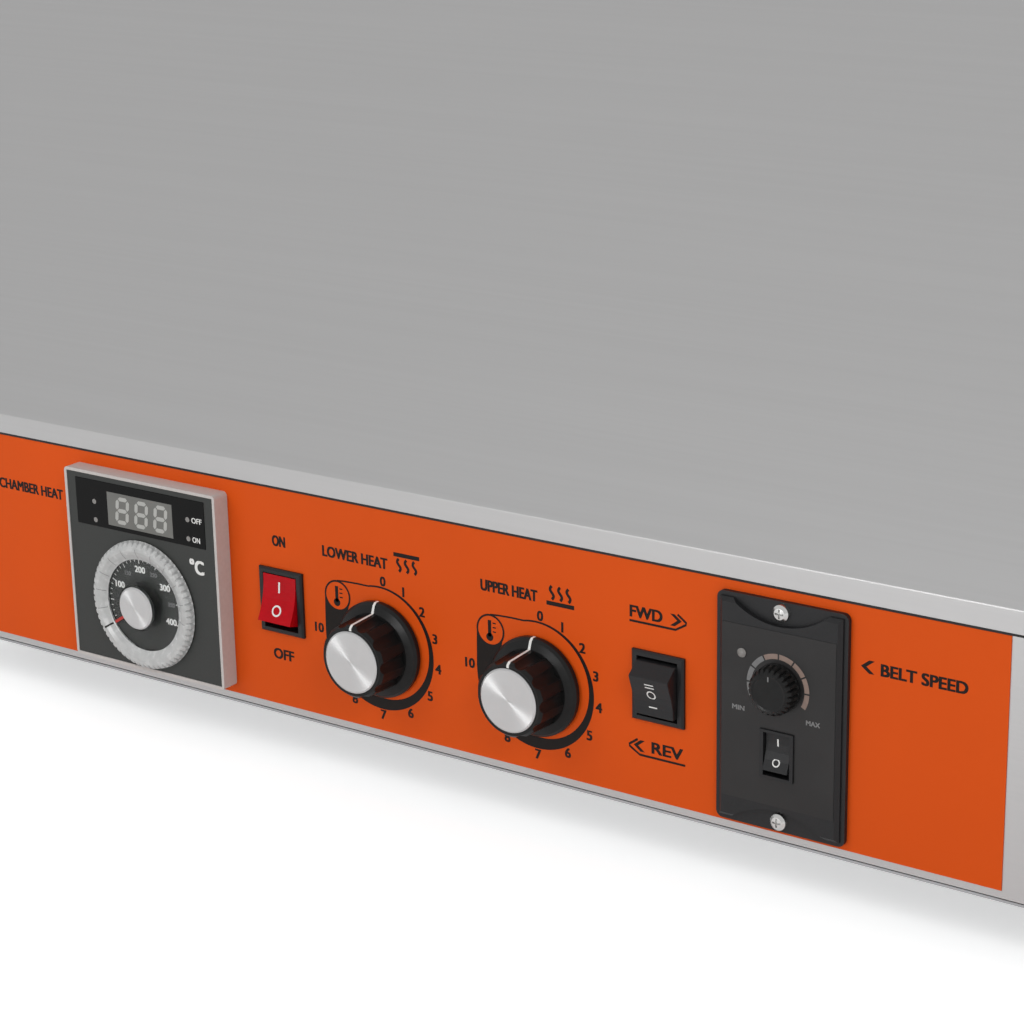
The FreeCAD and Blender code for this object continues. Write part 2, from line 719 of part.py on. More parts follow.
def baffle_screws():
    out = []
    x0 = HALF + 0.3 + SHEET + 0.3
    for y in baffle_screw_ys():
        z = baffle_screw_z()
        head = rod_x(x0, x0 + 8.0, y, z, 7.0)
        notches = []
        for i in range(10):
            a = math.radians(36 * i)
            notches.append(rod_x(x0 - 1, x0 + 9, y + 7.6 * math.cos(a), z + 7.6 * math.sin(a), 1.3))
        head = minus(head, notches)
        shank = rod_x(HALF - 8, x0 + 1, y, z, 2.5)
        nut = rod_x(HALF - SHEET - 4.0, HALF - SHEET, y, z, 4.5)
        out.append(fused([head, shank, nut]))
    return both_sides(group(out))


def fan_frame():
    y0 = REAR_IN - 25.0
    x = fan_x()
    z = fan_z()
    frame = box(x - 46, x + 46, y0, REAR_IN - 0.1, z - 46, z + 46)
    frame = minus(frame, [rod_y(x, y0 - 1, REAR_IN + 1, z, 43.5)])
    hub = rod_y(x, y0, y0 + 5, z, 17.0)
    arms = [frame, hub]
    for i in range(4):
        arm = box(15, 44.5, y0, y0 + 4, -2.5, 2.5)
        arm.rotate(V(0, 0, 0), V(0, 1, 0), 45 + 90 * i)
        arm.translate(V(x, 0, z))
        arms.append(arm)
    return minus(fused(arms), [rod_y(x, y0 - 1, y0 + 6, z, 3.0 + RUNNING_FIT)])


def fan_rotor():
    y0 = REAR_IN - 25.0 + 5.4
    x = fan_x()
    z = fan_z()
    parts = [rod_y(x, y0, y0 + 17, z, 18.0), rod_y(x, y0 - 5.0, y0 + 1, z, 3.0)]
    for i in range(7):
        blade = box(16, 41.5, -1.0, 1.0, -9.0, 9.0)
        blade.rotate(V(0, 0, 0), V(1, 0, 0), 50)
        blade.translate(V(0, y0 + 8.5, 0))
        blade.rotate(V(0, 0, 0), V(0, 1, 0), i * 360.0 / 7.0)
        blade.translate(V(x, 0, z))
        parts.append(blade)
    return fused(parts)


def cable_gland():
    x = gland_x()
    z = gland_z()
    y = REAR_OUT
    nut = hexagon_y(x, z, 28.0, y, y + 7)
    end = y + GLAND_REACH
    dome = turned_y([(0, y + 5), (13, y + 5), (13, end - 8), (9, end), (0, end)], x, z)
    thread = rod_y(x, REAR_IN - 10, y + 6, z, 9.8)
    lock = hexagon_y(x, z, 26.0, REAR_IN - 5, REAR_IN)
    body = fused([nut, dome, thread, lock])
    return minus(body, [rod_y(x, REAR_IN - 11, y + GLAND_REACH + 1, z, 6.0)])


def contactor():
    y = REAR_OUT / 2.0 + 60.0
    z = FOOT_HEIGHT + SHEET
    body = box(-180, -135, y - 38, y + 38, z, z + 45)
    crown = box(-176, -139, y - 20, y + 20, z + 45, z + 70)
    tools = []
    for i in range(3):
        x = -175.0 + i * 13.0
        tools.append(box(x, x + 9, y - 39, y - 30, z + 25, z + 46))
        tools.append(box(x, x + 9, y + 30, y + 39, z + 25, z + 46))
    return minus(fused([body, crown]), tools)


def thermostat_case():
    half = THERMO_SIZE / 2.0
    z = MID_Z
    frame = box(THERMO_X - half, THERMO_X + half, -THERMO_PROUD, 0, z - half, z + half)
    edges = [e for e in frame.Edges if abs(e.Length - THERMO_PROUD) < 0.01]
    frame = frame.makeFillet(2.0, edges)
    inner = half - 1.5
    y = -THERMO_PROUD
    pocket = box(THERMO_X - inner, THERMO_X + inner, y - 1, y + 2.0, z - inner, z + inner)
    back = half - 2.2
    rear = box(THERMO_X - back, THERMO_X + back, -1, 72, z - back, z + back)
    bore = rod_y(THERMO_X, -THERMO_PROUD - 1, 12, DIAL_Z, SPINDLE_RADIUS + RUNNING_FIT)
    return minus(fused([frame, rear]), [pocket, bore])


def thermostat_face():
    inner = THERMO_SIZE / 2.0 - 1.6
    y = -THERMO_PROUD
    plate = box(THERMO_X - inner, THERMO_X + inner, y + 0.3, y + 2.0, MID_Z - inner, MID_Z + inner)
    bore = rod_y(THERMO_X, y - 1, y + 3, DIAL_Z, SPINDLE_RADIUS + 0.5)
    x0 = THERMO_X - 41.0
    z0 = MID_Z + 20.8
    pocket = box(x0 - 0.1, x0 + 82.1, y - 1, y + 1.2, z0 - 0.1, z0 + 23.1)
    return minus(plate, [bore, pocket])


def display_window():
    x0 = THERMO_X - 41.0
    z0 = MID_Z + 20.8
    y = -THERMO_PROUD
    return box(x0, x0 + 82.0, y + 0.1, y + 1.2, z0, z0 + 23.0)


def thermostat_dial():
    # clear finger ring with a knurled rim
    y1 = -THERMO_PROUD - 0.3
    y0 = y1 - DIAL_THICK
    r = DIAL_RADIUS
    i = DIAL_INNER
    section = [(i, y1), (r, y1), (r, y0 + 1.2), (r - 1.6, y0), (i + 4, y0), (i, y1 - 1.3)]
    ring = turned_y(section, THERMO_X, DIAL_Z)
    notches = []
    for i in range(56):
        a = 2.0 * math.pi * i / 56.0
        x = THERMO_X + (r + 0.35) * math.cos(a)
        z = DIAL_Z + (r + 0.35) * math.sin(a)
        cut = box(-0.75, 0.75, y0 - 1, y1 + 1, -0.75, 0.75)
        cut.rotate(V(0, 0, 0), V(0, 1, 0), 45 - math.degrees(a))
        cut.translate(V(x, 0, z))
        notches.append(cut)
    return minus(ring, notches)


def dial_lens():
    # thin clear disc that joins the ring to the hub
    y1 = -THERMO_PROUD - 0.3
    bore = rod_y(THERMO_X, y1 - 9, y1 + 1, DIAL_Z, SPINDLE_RADIUS)
    disc = rod_y(THERMO_X, y1 - 1.2, y1, DIAL_Z, DIAL_INNER)
    hub = rod_y(THERMO_X, y1 - 4.6, y1, DIAL_Z, DIAL_CAP_RADIUS + 1.4)
    return minus(fused([disc, hub]), [bore])


def dial_cap():
    y1 = -THERMO_PROUD - 0.3 - 4.6
    r = DIAL_CAP_RADIUS
    cap = turned_y([(0, y1), (r, y1), (r, y1 - 1.6), (r - 0.8, y1 - 2.3), (0, y1 - 2.3)], THERMO_X, DIAL_Z)
    spindle = rod_y(THERMO_X, y1 - 0.5, 8.0, DIAL_Z, SPINDLE_RADIUS)
    return fused([cap, spindle])


def switch_housing(x):
    w = SWITCH_WIDTH / 2.0
    h = SWITCH_HEIGHT / 2.0
    bezel = box(x - w, x + w, -SWITCH_PROUD, 0, MID_Z - h, MID_Z + h)
    front = [e for e in bezel.Edges if e.BoundBox.YMax < 0.01 - SWITCH_PROUD]
    bezel = bezel.makeChamfer(0.8, front)
    body = box(x - w + 1.7, x + w - 1.7, -0.5, 26, MID_Z - h + 1.7, MID_Z + h - 1.7)
    well = box(x - w + 2.8, x + w - 2.8, -3, 13, MID_Z - h + 2.3, MID_Z + h - 2.3)
    pins = rod_x(x - w + 1.9, x + w - 1.9, rocker_pivot(), MID_Z, 1.55)
    blades = []
    for dz in (-9.0, 0.0, 9.0):
        blades.append(box(x - 3, x + 3, 25, 34, MID_Z + dz - 0.4, MID_Z + dz + 0.4))
    return minus(fused([bezel, body] + blades), [well, pins])


def rocker_pivot():
    return 4.0


def rocker_body(x, profile, tilt, end_gap):
    # cap that swings on two side pins; a negative tilt lifts its lower end
    w = SWITCH_WIDTH / 2.0 - 3.2
    h = SWITCH_HEIGHT / 2.0 - end_gap
    y = rocker_pivot()
    back = [(0.5, h + 0.2), (3.0, h * 0.55), (4.0, 0.0), (3.0, -h * 0.55), (0.5, -h - 0.2)]
    section = [(y + py, MID_Z + pz * h) for py, pz in profile] + [(y + py, MID_Z + pz) for py, pz in back]
    body = prism_x(section, x - w, x + w)
    pins = rod_x(x - w - 1.0, x + w + 1.0, y, MID_Z, 1.5)
    out = fused([body, pins])
    out.rotate(V(x, y, MID_Z), V(1, 0, 0), tilt)
    return out


def power_rocker():
    face = [(-9.0, -1.0), (-8.2, -0.7), (-7.6, -0.35), (-7.4, 0.0), (-7.6, 0.35), (-8.2, 0.7), (-9.0, 1.0)]
    return rocker_body(POWER_X, face, -14.0, 4.6)


def direction_rocker():
    # three-way rocker with a ridge above its middle and a hollow lower face
    face = [(-6.2, -1.0), (-6.9, -0.7), (-8.0, -0.4), (-9.8, -0.05)]
    face += [(-11.8, 0.22), (-9.2, 0.5), (-5.6, 1.0)]
    return rocker_body(DIRECTION_X, face, 0.0, 3.6)


def knob(x):
    # skirted knob with finger lobes, hollow over the spindle nut
    h = KNOB_HEIGHT
    rs = KNOB_SKIRT_RADIUS
    y0 = -0.8
    skirt = turned_y([(0, y0), (rs, y0), (rs, y0 - 2.2), (rs - 1.2, y0 - 3.4), (rs - 4.5, y0 - 4.6),
                      (0, y0 - 4.6)], x, KNOB_Z)
    grip = turned_y([(0, y0 - 3), (KNOB_RADIUS + 0.8, y0 - 3), (KNOB_RADIUS, -h + 1.4),
                     (KNOB_RADIUS - 1.2, -h), (0, -h)], x, KNOB_Z)
    scallops = []
    for i in range(KNOB_LOBES):
        a = 2.0 * math.pi * i / KNOB_LOBES
        r = KNOB_RADIUS + 2.4
        foot = V(x + (r + 0.8) * math.cos(a), y0 - 4.6, KNOB_Z + (r + 0.8) * math.sin(a))
        scallops.append(Part.makeCylinder(4.4, h, foot, V(0, -1, 0)))
    grip = minus(grip, scallops)
    recess = rod_y(x, -h - 1, -h + 0.6, KNOB_Z, KNOB_CAP_RADIUS + 0.1)
    nut_space = rod_y(x, y0 - 5.0, y0 + 1, KNOB_Z, 10.0)
    spindle = rod_y(x, -h + 4.0, 14.0, KNOB_Z, SPINDLE_RADIUS)
    return fused([minus(fused([skirt, grip]), [recess, nut_space]), spindle])


def knob_cap(x):
    h = KNOB_HEIGHT
    r = KNOB_CAP_RADIUS
    y = -h + 0.6
    return turned_y([(0, y), (r, y), (r, y - 0.9), (r - 0.7, y - 1.4), (0, y - 1.4)], x, KNOB_Z)


def heat_regulators():
    out = []
    for x in (LOWER_KNOB_X, UPPER_KNOB_X):
        body = box(x - 22, x + 22, PANEL_BACK + 0.1, 40, KNOB_Z - 24, KNOB_Z + 24)
        neck = rod_y(x, -4.0, 6, KNOB_Z, SPINDLE_RADIUS + 2.0)
        nut = hexagon_y(x, KNOB_Z, 14.0, -2.6, 0.0)
        tabs = []
        for dx in (-14, 0, 14):
            tabs.append(box(x + dx - 3, x + dx + 3, 39, 48, KNOB_Z - 0.4, KNOB_Z + 0.4))
        bore = rod_y(x, -6, 16, KNOB_Z, SPINDLE_RADIUS + RUNNING_FIT)
        out.append(minus(fused([body, neck, nut] + tabs), [bore]))
    return group(out)


def speed_controller():
    # wall plate with a raised field between two hollowed screw flanges, and its case
    w = SPEED_WIDTH / 2.0
    h = SPEED_HEIGHT / 2.0
    x = SPEED_X
    plate = box(x - w, x + w, -2.2, 0, MID_Z - h, MID_Z + h)
    corner = [e for e in plate.Edges if abs(e.Length - 2.2) < 0.01]
    plate = plate.makeFillet(3.0, corner)
    low = h - 10.0
    field = box(x - w + 2, x + w - 2, -4.6, -1, MID_Z - h + 2, MID_Z + h - 2)
    front = [e for e in field.Edges if e.BoundBox.YMax < -4.59]
    field = field.makeChamfer(1.6, front)
    hollows = []
    for s in (-1, 1):
        centre = MID_Z + s * (low + 34.0)
        hollows.append(Part.makeCylinder(34.0, 10, V(x, -12.2, centre), V(0, 1, 0)))
        hollows.append(rod_y(x, -7, 1, MID_Z + s * (h - 4.6), 2.0))
    case = box(x - w + 4.3, x + w - 4.3, -1, 78, MID_Z - h + 10.3, MID_Z + h - 10.3)
    zk = MID_Z + SPEED_KNOB_RISE
    zr = MID_Z - SPEED_ROCKER_DROP
    frame = box(x - 7.7, x + 7.7, -5.6, -4.0, zr - 10.5, zr + 10.5)
    body = fused([plate, minus(field, hollows), frame, case])
    tools = [rod_y(x, -7, 14, zk, 2.0 + RUNNING_FIT)]
    tools.append(box(x - 6.1, x + 6.1, -8, 9, zr - 9.4, zr + 9.4))
    tools.append(rod_x(x - 7.3, x + 7.3, speed_pivot(), zr, 1.05))
    for s in (-1, 1):
        tools.append(rod_y(x, -7, 1, MID_Z + s * (h - 4.6), 2.0))
    return minus(body, tools)


def speed_pivot():
    return 1.6


def speed_rocker():
    x = SPEED_X
    z = MID_Z - SPEED_ROCKER_DROP
    h = 8.0
    y = speed_pivot()
    points = [(-7.2, -h), (-6.2, -h * 0.45), (-5.9, 0.0), (-6.2, h * 0.45), (-7.2, h)]
    points += [(0.4, h + 0.1), (2.2, h * 0.5), (2.6, 0.0), (2.2, -h * 0.5), (0.4, -h - 0.1)]
    body = prism_x([(y + py, z + pz) for py, pz in points], x - 5.6, x + 5.6)
    out = fused([body, rod_x(x - 6.9, x + 6.9, y, z, 1.0)])
    out.rotate(V(x, y, z), V(1, 0, 0), -10.0)
    return out


def speed_knob():
    x = SPEED_X
    z = MID_Z + SPEED_KNOB_RISE
    y0 = -4.9
    r = SPEED_KNOB_RADIUS
    body = turned_y([(0, y0), (r, y0), (r, y0 - 1.6), (r - 1.6, y0 - 2.4), (r - 3.0, -16.2),
                     (r - 3.6, -16.8), (0, -16.8)], x, z)
    ribs = []
    for i in range(24):
        a = 2.0 * math.pi * i / 24.0
        cut = box(-0.5, 0.5, -18, y0 - 2.6, -0.5, 0.5)
        cut.rotate(V(0, 0, 0), V(0, 1, 0), 45 - math.degrees(a))
        cut.translate(V(x + (r - 2.0) * math.cos(a), 0, z + (r - 2.0) * math.sin(a)))
        ribs.append(cut)
    return fused([minus(body, ribs), rod_y(x, y0 - 1, 12.0, z, 2.0)])


def speed_screws():
    out = []
    for s in (-1, 1):
        z = MID_Z + s * (SPEED_HEIGHT / 2.0 - 4.6)
        head = turned_y([(0, -2.2), (3.9, -2.2), (3.6, -3.6), (2.4, -4.6), (0, -4.9)], SPEED_X, z)
        cross1 = box(SPEED_X - 2.0, SPEED_X + 2.0, -6, -3.6, z - 0.4, z + 0.4)
        cross2 = box(SPEED_X - 0.4, SPEED_X + 0.4, -6, -3.6, z - 2.0, z + 2.0)
        shank = rod_y(SPEED_X, -3.0, 8, z, 1.7)
        nut = rod_y(SPEED_X, PANEL_BACK, PANEL_BACK + 3.0, z, 3.4)
        out.append(minus(fused([head, shank, nut]), [cross1, cross2]))
    return group(out)


def mirrored(shape):
    return shape.mirror(V(0, 0, 0), V(1, 0, 0))


PARTS = {
    "base_pan": base_pan(),
    "front_panel": front_panel(),
    "panel_label": panel_label(),
    "rear_panel": rear_panel(),
    "deck_plate": deck_plate(),
    "hood_cover": hood_cover(),
    "left_end_plate": end_plate(-1),
    "right_end_plate": end_plate(1),
    "feet": feet(),
    "foot_screws": foot_screws(),
    "cover_screws": cover_screws(),
    "cable_gland": cable_gland(),
    "chamber_liner": chamber_liner(),
    "crumb_tray": crumb_tray(),
    "floor_insulation": floor_insulation(),
    "wall_insulation": wall_insulation(),
    "roof_insulation": roof_insulation(),
    "upper_heaters": heaters(UPPER_HEATER_Z),
    "lower_heaters": heaters(LOWER_HEATER_Z),
    "heater_insulators": heater_insulators(),
    "lower_reflector": lower_reflector(),
    "thermocouple": thermocouple(),
    "front_rail": rail(-1),
    "rear_rail": rail(1),
    "rail_spacers": rail_spacers(),
    "rail_brackets": rail_brackets(),
    "belt_slides": belt_slides(),
    "shaft_bushes": shaft_bushes(),
    "drive_shaft": shaft(SHAFT_X, REAR_OUT - MID_Y - 14.0),
    "drive_sprockets": sprockets(SHAFT_X),
    "idler_shaft": shaft(-SHAFT_X, RAIL_OUT + 4.0),
    "idler_sprockets": sprockets(-SHAFT_X),
    "mesh_belt": mesh_belt(),
    "gear_motor": gear_motor(),
    "motor_cover": motor_cover(),
    "right_baffle": baffle(),
    "left_baffle": mirrored(baffle()),
    "baffle_screws": baffle_screws(),
    "fan_frame": fan_frame(),
    "fan_rotor": fan_rotor(),
    "contactor": contactor(),
    "thermostat_case": thermostat_case(),
    "thermostat_face": thermostat_face(),
    "display_window": display_window(),
    "thermostat_dial": thermostat_dial(),
    "dial_lens": dial_lens(),
    "dial_cap": dial_cap(),
    "power_switch_housing": switch_housing(POWER_X),
    "power_rocker": power_rocker(),
    "direction_switch_housing": switch_housing(DIRECTION_X),
    "direction_rocker": direction_rocker(),
    "lower_heat_knob": knob(LOWER_KNOB_X),
    "lower_knob_cap": knob_cap(LOWER_KNOB_X),
    "upper_heat_knob": knob(UPPER_KNOB_X),
    "upper_knob_cap": knob_cap(UPPER_KNOB_X),
    "heat_regulators": heat_regulators(),
    "speed_controller": speed_controller(),
    "speed_knob": speed_knob(),
    "speed_rocker": speed_rocker(),
    "speed_screws": speed_screws(),
}

os.makedirs("parts", exist_ok=True)
for name, shape in PARTS.items():
    piece = shape.copy()
    piece.translate(V(0, Y_SHIFT, 0))
    piece.exportStep("parts/" + name + ".step")
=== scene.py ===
import bpy
import json
import math
from mathutils import Matrix, Vector


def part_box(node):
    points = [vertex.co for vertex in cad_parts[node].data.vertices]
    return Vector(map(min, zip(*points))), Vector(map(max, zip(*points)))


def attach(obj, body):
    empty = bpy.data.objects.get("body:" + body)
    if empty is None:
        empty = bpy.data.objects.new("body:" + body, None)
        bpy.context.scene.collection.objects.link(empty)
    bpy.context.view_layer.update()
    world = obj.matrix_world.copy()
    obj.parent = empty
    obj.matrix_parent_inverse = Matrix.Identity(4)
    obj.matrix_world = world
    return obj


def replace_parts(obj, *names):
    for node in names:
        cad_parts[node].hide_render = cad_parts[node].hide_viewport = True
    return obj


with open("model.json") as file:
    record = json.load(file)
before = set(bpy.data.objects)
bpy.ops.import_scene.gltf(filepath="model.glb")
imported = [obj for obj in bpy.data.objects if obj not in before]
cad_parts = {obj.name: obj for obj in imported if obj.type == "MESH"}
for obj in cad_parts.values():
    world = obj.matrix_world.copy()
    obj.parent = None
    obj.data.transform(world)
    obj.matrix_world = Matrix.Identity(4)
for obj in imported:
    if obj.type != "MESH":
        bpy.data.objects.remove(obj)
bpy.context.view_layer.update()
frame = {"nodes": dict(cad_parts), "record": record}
SCENE = bpy.context.scene
SCENE.view_settings.view_transform = "Standard"
MM = 0.001

# A place on the front is (x, z) in millimetres of the shared frame. Its height over the label's face,
# towards the viewer, is called out.
FACE_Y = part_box("panel_label")[0].y / MM


def at(place, out=0.0):
    # the point of the shared frame, in metres
    return Vector((place[0] * MM, (FACE_Y - out) * MM, place[1] * MM))


def centre(node):
    lo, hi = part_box(node)
    return (lo.x + hi.x) / 2 / MM, (lo.z + hi.z) / 2 / MM


def shifted(place, dx, dz):
    return place[0] + dx, place[1] + dz


def polar(middle, reach, turn):
    # the place at a reach from the middle, turned clockwise from the top by an angle in radians
    return middle[0] + reach * math.sin(turn), middle[1] + reach * math.cos(turn)


THERMOSTAT = centre("thermostat_case")
DIAL = centre("thermostat_dial")
POWER = centre("power_switch_housing")
LOWER_KNOB = centre("lower_heat_knob")
UPPER_KNOB = centre("upper_heat_knob")
WAY = centre("direction_switch_housing")
SPEED = centre("speed_controller")
SPEED_KNOB = shifted(SPEED, 0.0, 14.1)
SPEED_SWITCH = shifted(SPEED, 0.0, -15.4)

# Heights of the printed layers
LABEL_PRINT = 0.06
SIGN_GROUND = 0.09
SIGN_PRINT = 0.12
PLATE_PRINT = 4.86
FACE_PRINT = 8.76
WINDOW_PRINT = 8.96
LENS_PRINT = 10.56
GRIP_PRINT = 13.04

# A face of lettering with less area than this is only a line
NO_AREA = 1e-8


# Making pieces

def link(obj, body):
    SCENE.collection.objects.link(obj)
    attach(obj, body)
    return obj


def mesh_piece(name, verts, faces, mat, body, smooth=False):
    me = bpy.data.meshes.new(name)
    me.from_pydata([tuple(v) for v in verts], [], faces)
    me.materials.append(mat)
    if smooth:
        for p in me.polygons:
            p.use_smooth = True
    me.update()
    return link(bpy.data.objects.new(name, me), body)


def evaluated_mesh(name, data):
    # the mesh of a text or a bevelled curve
    temp = bpy.data.objects.new(name + "_temp", data)
    SCENE.collection.objects.link(temp)
    bpy.context.view_layer.update()
    me = bpy.data.meshes.new_from_object(temp.evaluated_get(bpy.context.evaluated_depsgraph_get()))
    bpy.data.objects.remove(temp)
    return me


def wall_faces(n, count, closed=False):
    # quads between count rings of n points; a closed form joins its last ring to its first
    faces = []
    for j in range(count if closed else count - 1):
        low = j * n
        high = (j + 1) % count * n
        for k in range(n):
            m = (k + 1) % n
            faces.append([low + k, high + k, high + m, low + m])
    return faces


def prism_faces(n):
    # the sides and both ends between two copies of an outline of n points
    sides = [[i, n + i, n + (i + 1) % n, (i + 1) % n] for i in range(n)]
    return sides + [list(range(n)), list(range(n, 2 * n))[::-1]]


def ribbon_faces(start, count):
    # quads along a ribbon of count pairs of points
    pairs = range(start, start + 2 * count - 2, 2)
    return [[k, k + 2, k + 3, k + 1] for k in pairs]


# Materials

def new_mat(name, base, rough, metal=0.0, vary=0.04, scale=60.0, bump=0.02, stretch=(1, 1, 1), spread=0.08,
            **sockets):
    # moulded, sheet or printed surface: small changes of colour, gloss and height at a real scale
    mat = bpy.data.materials.new(name)
    mat.use_nodes = True
    nt = mat.node_tree
    bsdf = nt.nodes["Principled BSDF"]
    bsdf.inputs["Metallic"].default_value = metal
    for key, value in sockets.items():
        bsdf.inputs[key.replace("_", " ")].default_value = value
    coord = nt.nodes.new("ShaderNodeTexCoord")
    mapping = nt.nodes.new("ShaderNodeMapping")
    mapping.inputs["Scale"].default_value = stretch
    nt.links.new(coord.outputs["Object"], mapping.inputs["Vector"])
    noise = nt.nodes.new("ShaderNodeTexNoise")
    noise.inputs["Scale"].default_value = scale
    noise.inputs["Detail"].default_value = 5.0
    nt.links.new(mapping.outputs["Vector"], noise.inputs["Vector"])
    ramp = nt.nodes.new("ShaderNodeValToRGB")
    dark, light = ramp.color_ramp.elements
    dark.position = 0.3
    dark.color = (*[c * (1 - vary) for c in base], 1)
    light.position = 0.7
    light.color = (*[min(1, c * (1 + vary)) for c in base], 1)
    nt.links.new(noise.outputs["Fac"], ramp.inputs["Fac"])
    nt.links.new(ramp.outputs["Color"], bsdf.inputs["Base Color"])
    gloss = nt.nodes.new("ShaderNodeMapRange")
    gloss.inputs["To Min"].default_value = max(0.02, rough - spread)
    gloss.inputs["To Max"].default_value = min(1.0, rough + spread)
    nt.links.new(noise.outputs["Fac"], gloss.inputs["Value"])
    nt.links.new(gloss.outputs["Result"], bsdf.inputs["Roughness"])
    if bump:
        relief = nt.nodes.new("ShaderNodeBump")
        relief.inputs["Strength"].default_value = bump
        relief.inputs["Distance"].default_value = 0.0004
        nt.links.new(noise.outputs["Fac"], relief.inputs["Height"])
        nt.links.new(relief.outputs["Normal"], bsdf.inputs["Normal"])
    return mat


def spun_metal(name, base, rough):
    # lathe-turned face: the highlight fans out from the middle
    mat = new_mat(name, base, rough, metal=1.0, vary=0.02, scale=120.0, bump=0.0, spread=0.03,
                  Anisotropic=0.9)
    nt = mat.node_tree
    tangent = nt.nodes.new("ShaderNodeTangent")
    tangent.direction_type = "RADIAL"
    tangent.axis = "Y"
    nt.links.new(tangent.outputs["Tangent"], nt.nodes["Principled BSDF"].inputs["Tangent"])
    return mat


PRINT = dict(rough=0.5, scale=300.0, bump=0.0)
LOOKS = {
    # metals
    "stainless": dict(base=(0.50, 0.497, 0.497), rough=0.40, metal=1.0, vary=0.016, scale=90.0, bump=0.018,
                      stretch=(0.04, 6.0, 6.0), spread=0.04),
    "zinc_sheet": dict(base=(0.40, 0.41, 0.42), rough=0.45, metal=1.0, vary=0.10, scale=24.0, bump=0.03),
    "fastener": dict(base=(0.62, 0.62, 0.61), rough=0.25, metal=1.0, vary=0.05, scale=120.0, bump=0.03),
    "heater_sheath": dict(base=(0.16, 0.14, 0.125), rough=0.5, metal=0.9, vary=0.3, scale=45.0, bump=0.05),
    "belt_wire": dict(base=(0.50, 0.50, 0.49), rough=0.32, metal=1.0, vary=0.12, scale=80.0, bump=0.03),
    "bronze": dict(base=(0.48, 0.29, 0.10), rough=0.4, metal=1.0, vary=0.12, scale=150.0, bump=0.05),
    # plastics, rubber and paint
    "label_orange": dict(base=(0.655, 0.080, 0.006), rough=0.42, vary=0.05, scale=7.0, bump=0.0,
                         spread=0.05, Specular_IOR_Level=0.10),
    "rubber_black": dict(base=(0.018, 0.018, 0.018), rough=0.8, vary=0.2, scale=300.0, bump=0.15),
    "black_plastic": dict(base=(0.014, 0.014, 0.015), rough=0.42, vary=0.12, scale=900.0, bump=0.05,
                          Specular_IOR_Level=0.28),
    "gloss_black": dict(base=(0.011, 0.011, 0.011), rough=0.30, vary=0.15, scale=200.0, bump=0.01,
                        spread=0.05, Specular_IOR_Level=0.18),
    "red_plastic": dict(base=(0.42, 0.001, 0.006), rough=0.3, vary=0.08, scale=150.0, bump=0.01,
                        Specular_IOR_Level=0.14),
    "light_grey_plastic": dict(base=(0.50, 0.47, 0.45), rough=0.45, scale=500.0, bump=0.04),
    "dark_grey_plastic": dict(base=(0.040, 0.042, 0.040), rough=0.55, vary=0.08, scale=900.0, bump=0.06,
                              Specular_IOR_Level=0.25),
    "motor_grey": dict(base=(0.10, 0.105, 0.11), rough=0.5, vary=0.08, scale=300.0, bump=0.08),
    "relay_grey": dict(base=(0.08, 0.083, 0.09), rough=0.5, vary=0.05, scale=400.0, bump=0.04),
    # windows and lenses
    "smoked_window": dict(base=(0.004, 0.004, 0.004), rough=0.15, vary=0.1, bump=0.0, spread=0.04,
                          Specular_IOR_Level=0.12),
    "frosted_plastic": dict(base=(0.47, 0.475, 0.47), rough=0.26, vary=0.10, scale=260.0, bump=0.03),
    "clear_plastic": dict(base=(0.95, 0.96, 0.96), rough=0.04, vary=0.01, bump=0.0, spread=0.02,
                          Transmission_Weight=1.0, IOR=1.12),
    "led_clear": dict(base=(0.22, 0.21, 0.20), rough=0.2, vary=0.1, scale=200.0, bump=0.0),
    # heat-proof pieces
    "ceramic_fibre": dict(base=(0.72, 0.69, 0.60), rough=0.95, vary=0.08, scale=160.0, bump=0.5),
    "ceramic": dict(base=(0.78, 0.75, 0.68), rough=0.5, vary=0.05, scale=200.0, bump=0.05),
    # printing, films and the unlit display
    "print_black": dict(PRINT, base=(0.010, 0.007, 0.006), vary=0.15, Specular_IOR_Level=0.15),
    "print_white": dict(PRINT, base=(0.72, 0.72, 0.70)),
    "print_grey": dict(PRINT, base=(0.17, 0.17, 0.17), vary=0.05),
    "print_red": dict(PRINT, base=(0.45, 0.02, 0.012), rough=0.45, vary=0.05),
    "print_tan": dict(PRINT, base=(0.24, 0.17, 0.14), vary=0.08),
    "display_grey": dict(base=(0.16, 0.16, 0.15), rough=0.4, vary=0.10, scale=40.0, bump=0.0,
                         Specular_IOR_Level=0.2),
    "segment_grey": dict(base=(0.40, 0.40, 0.38), rough=0.4, scale=200.0, bump=0.0),
    "film_grey": dict(base=(0.020, 0.019, 0.019), rough=0.34, vary=0.15, scale=30.0, bump=0.0,
                      Specular_IOR_Level=0.3),
}
M = {name: new_mat(name, **look) for name, look in LOOKS.items()}
M["spun_aluminium"] = spun_metal("spun_aluminium", (0.60, 0.60, 0.60), 0.34)
BLACK = M["print_black"]
WHITE = M["print_white"]
GREY = M["print_grey"]

for entry in frame["record"]["subparts"]:
    solid = frame["nodes"][entry["node"]].data
    solid.materials.clear()
    solid.materials.append(M[entry["material_slot"]])


# Flat shapes and printing

def rect(middle, x0, x1, z0, z1):
    return [shifted(middle, x, z) for x, z in ((x0, z0), (x1, z0), (x1, z1), (x0, z1))]


def circle(middle, r, steps=40):
    return [polar(middle, r, 2 * math.pi * i / steps) for i in range(steps)]


def ray(middle, turn, inner, outer, half):
    # straight mark along a radius, half as wide on each side
    s = math.sin(turn)
    c = math.cos(turn)
    return [shifted(middle, r * s + side * c, r * c - side * s)
            for r, side in ((inner, -half), (inner, half), (outer, half), (outer, -half))]


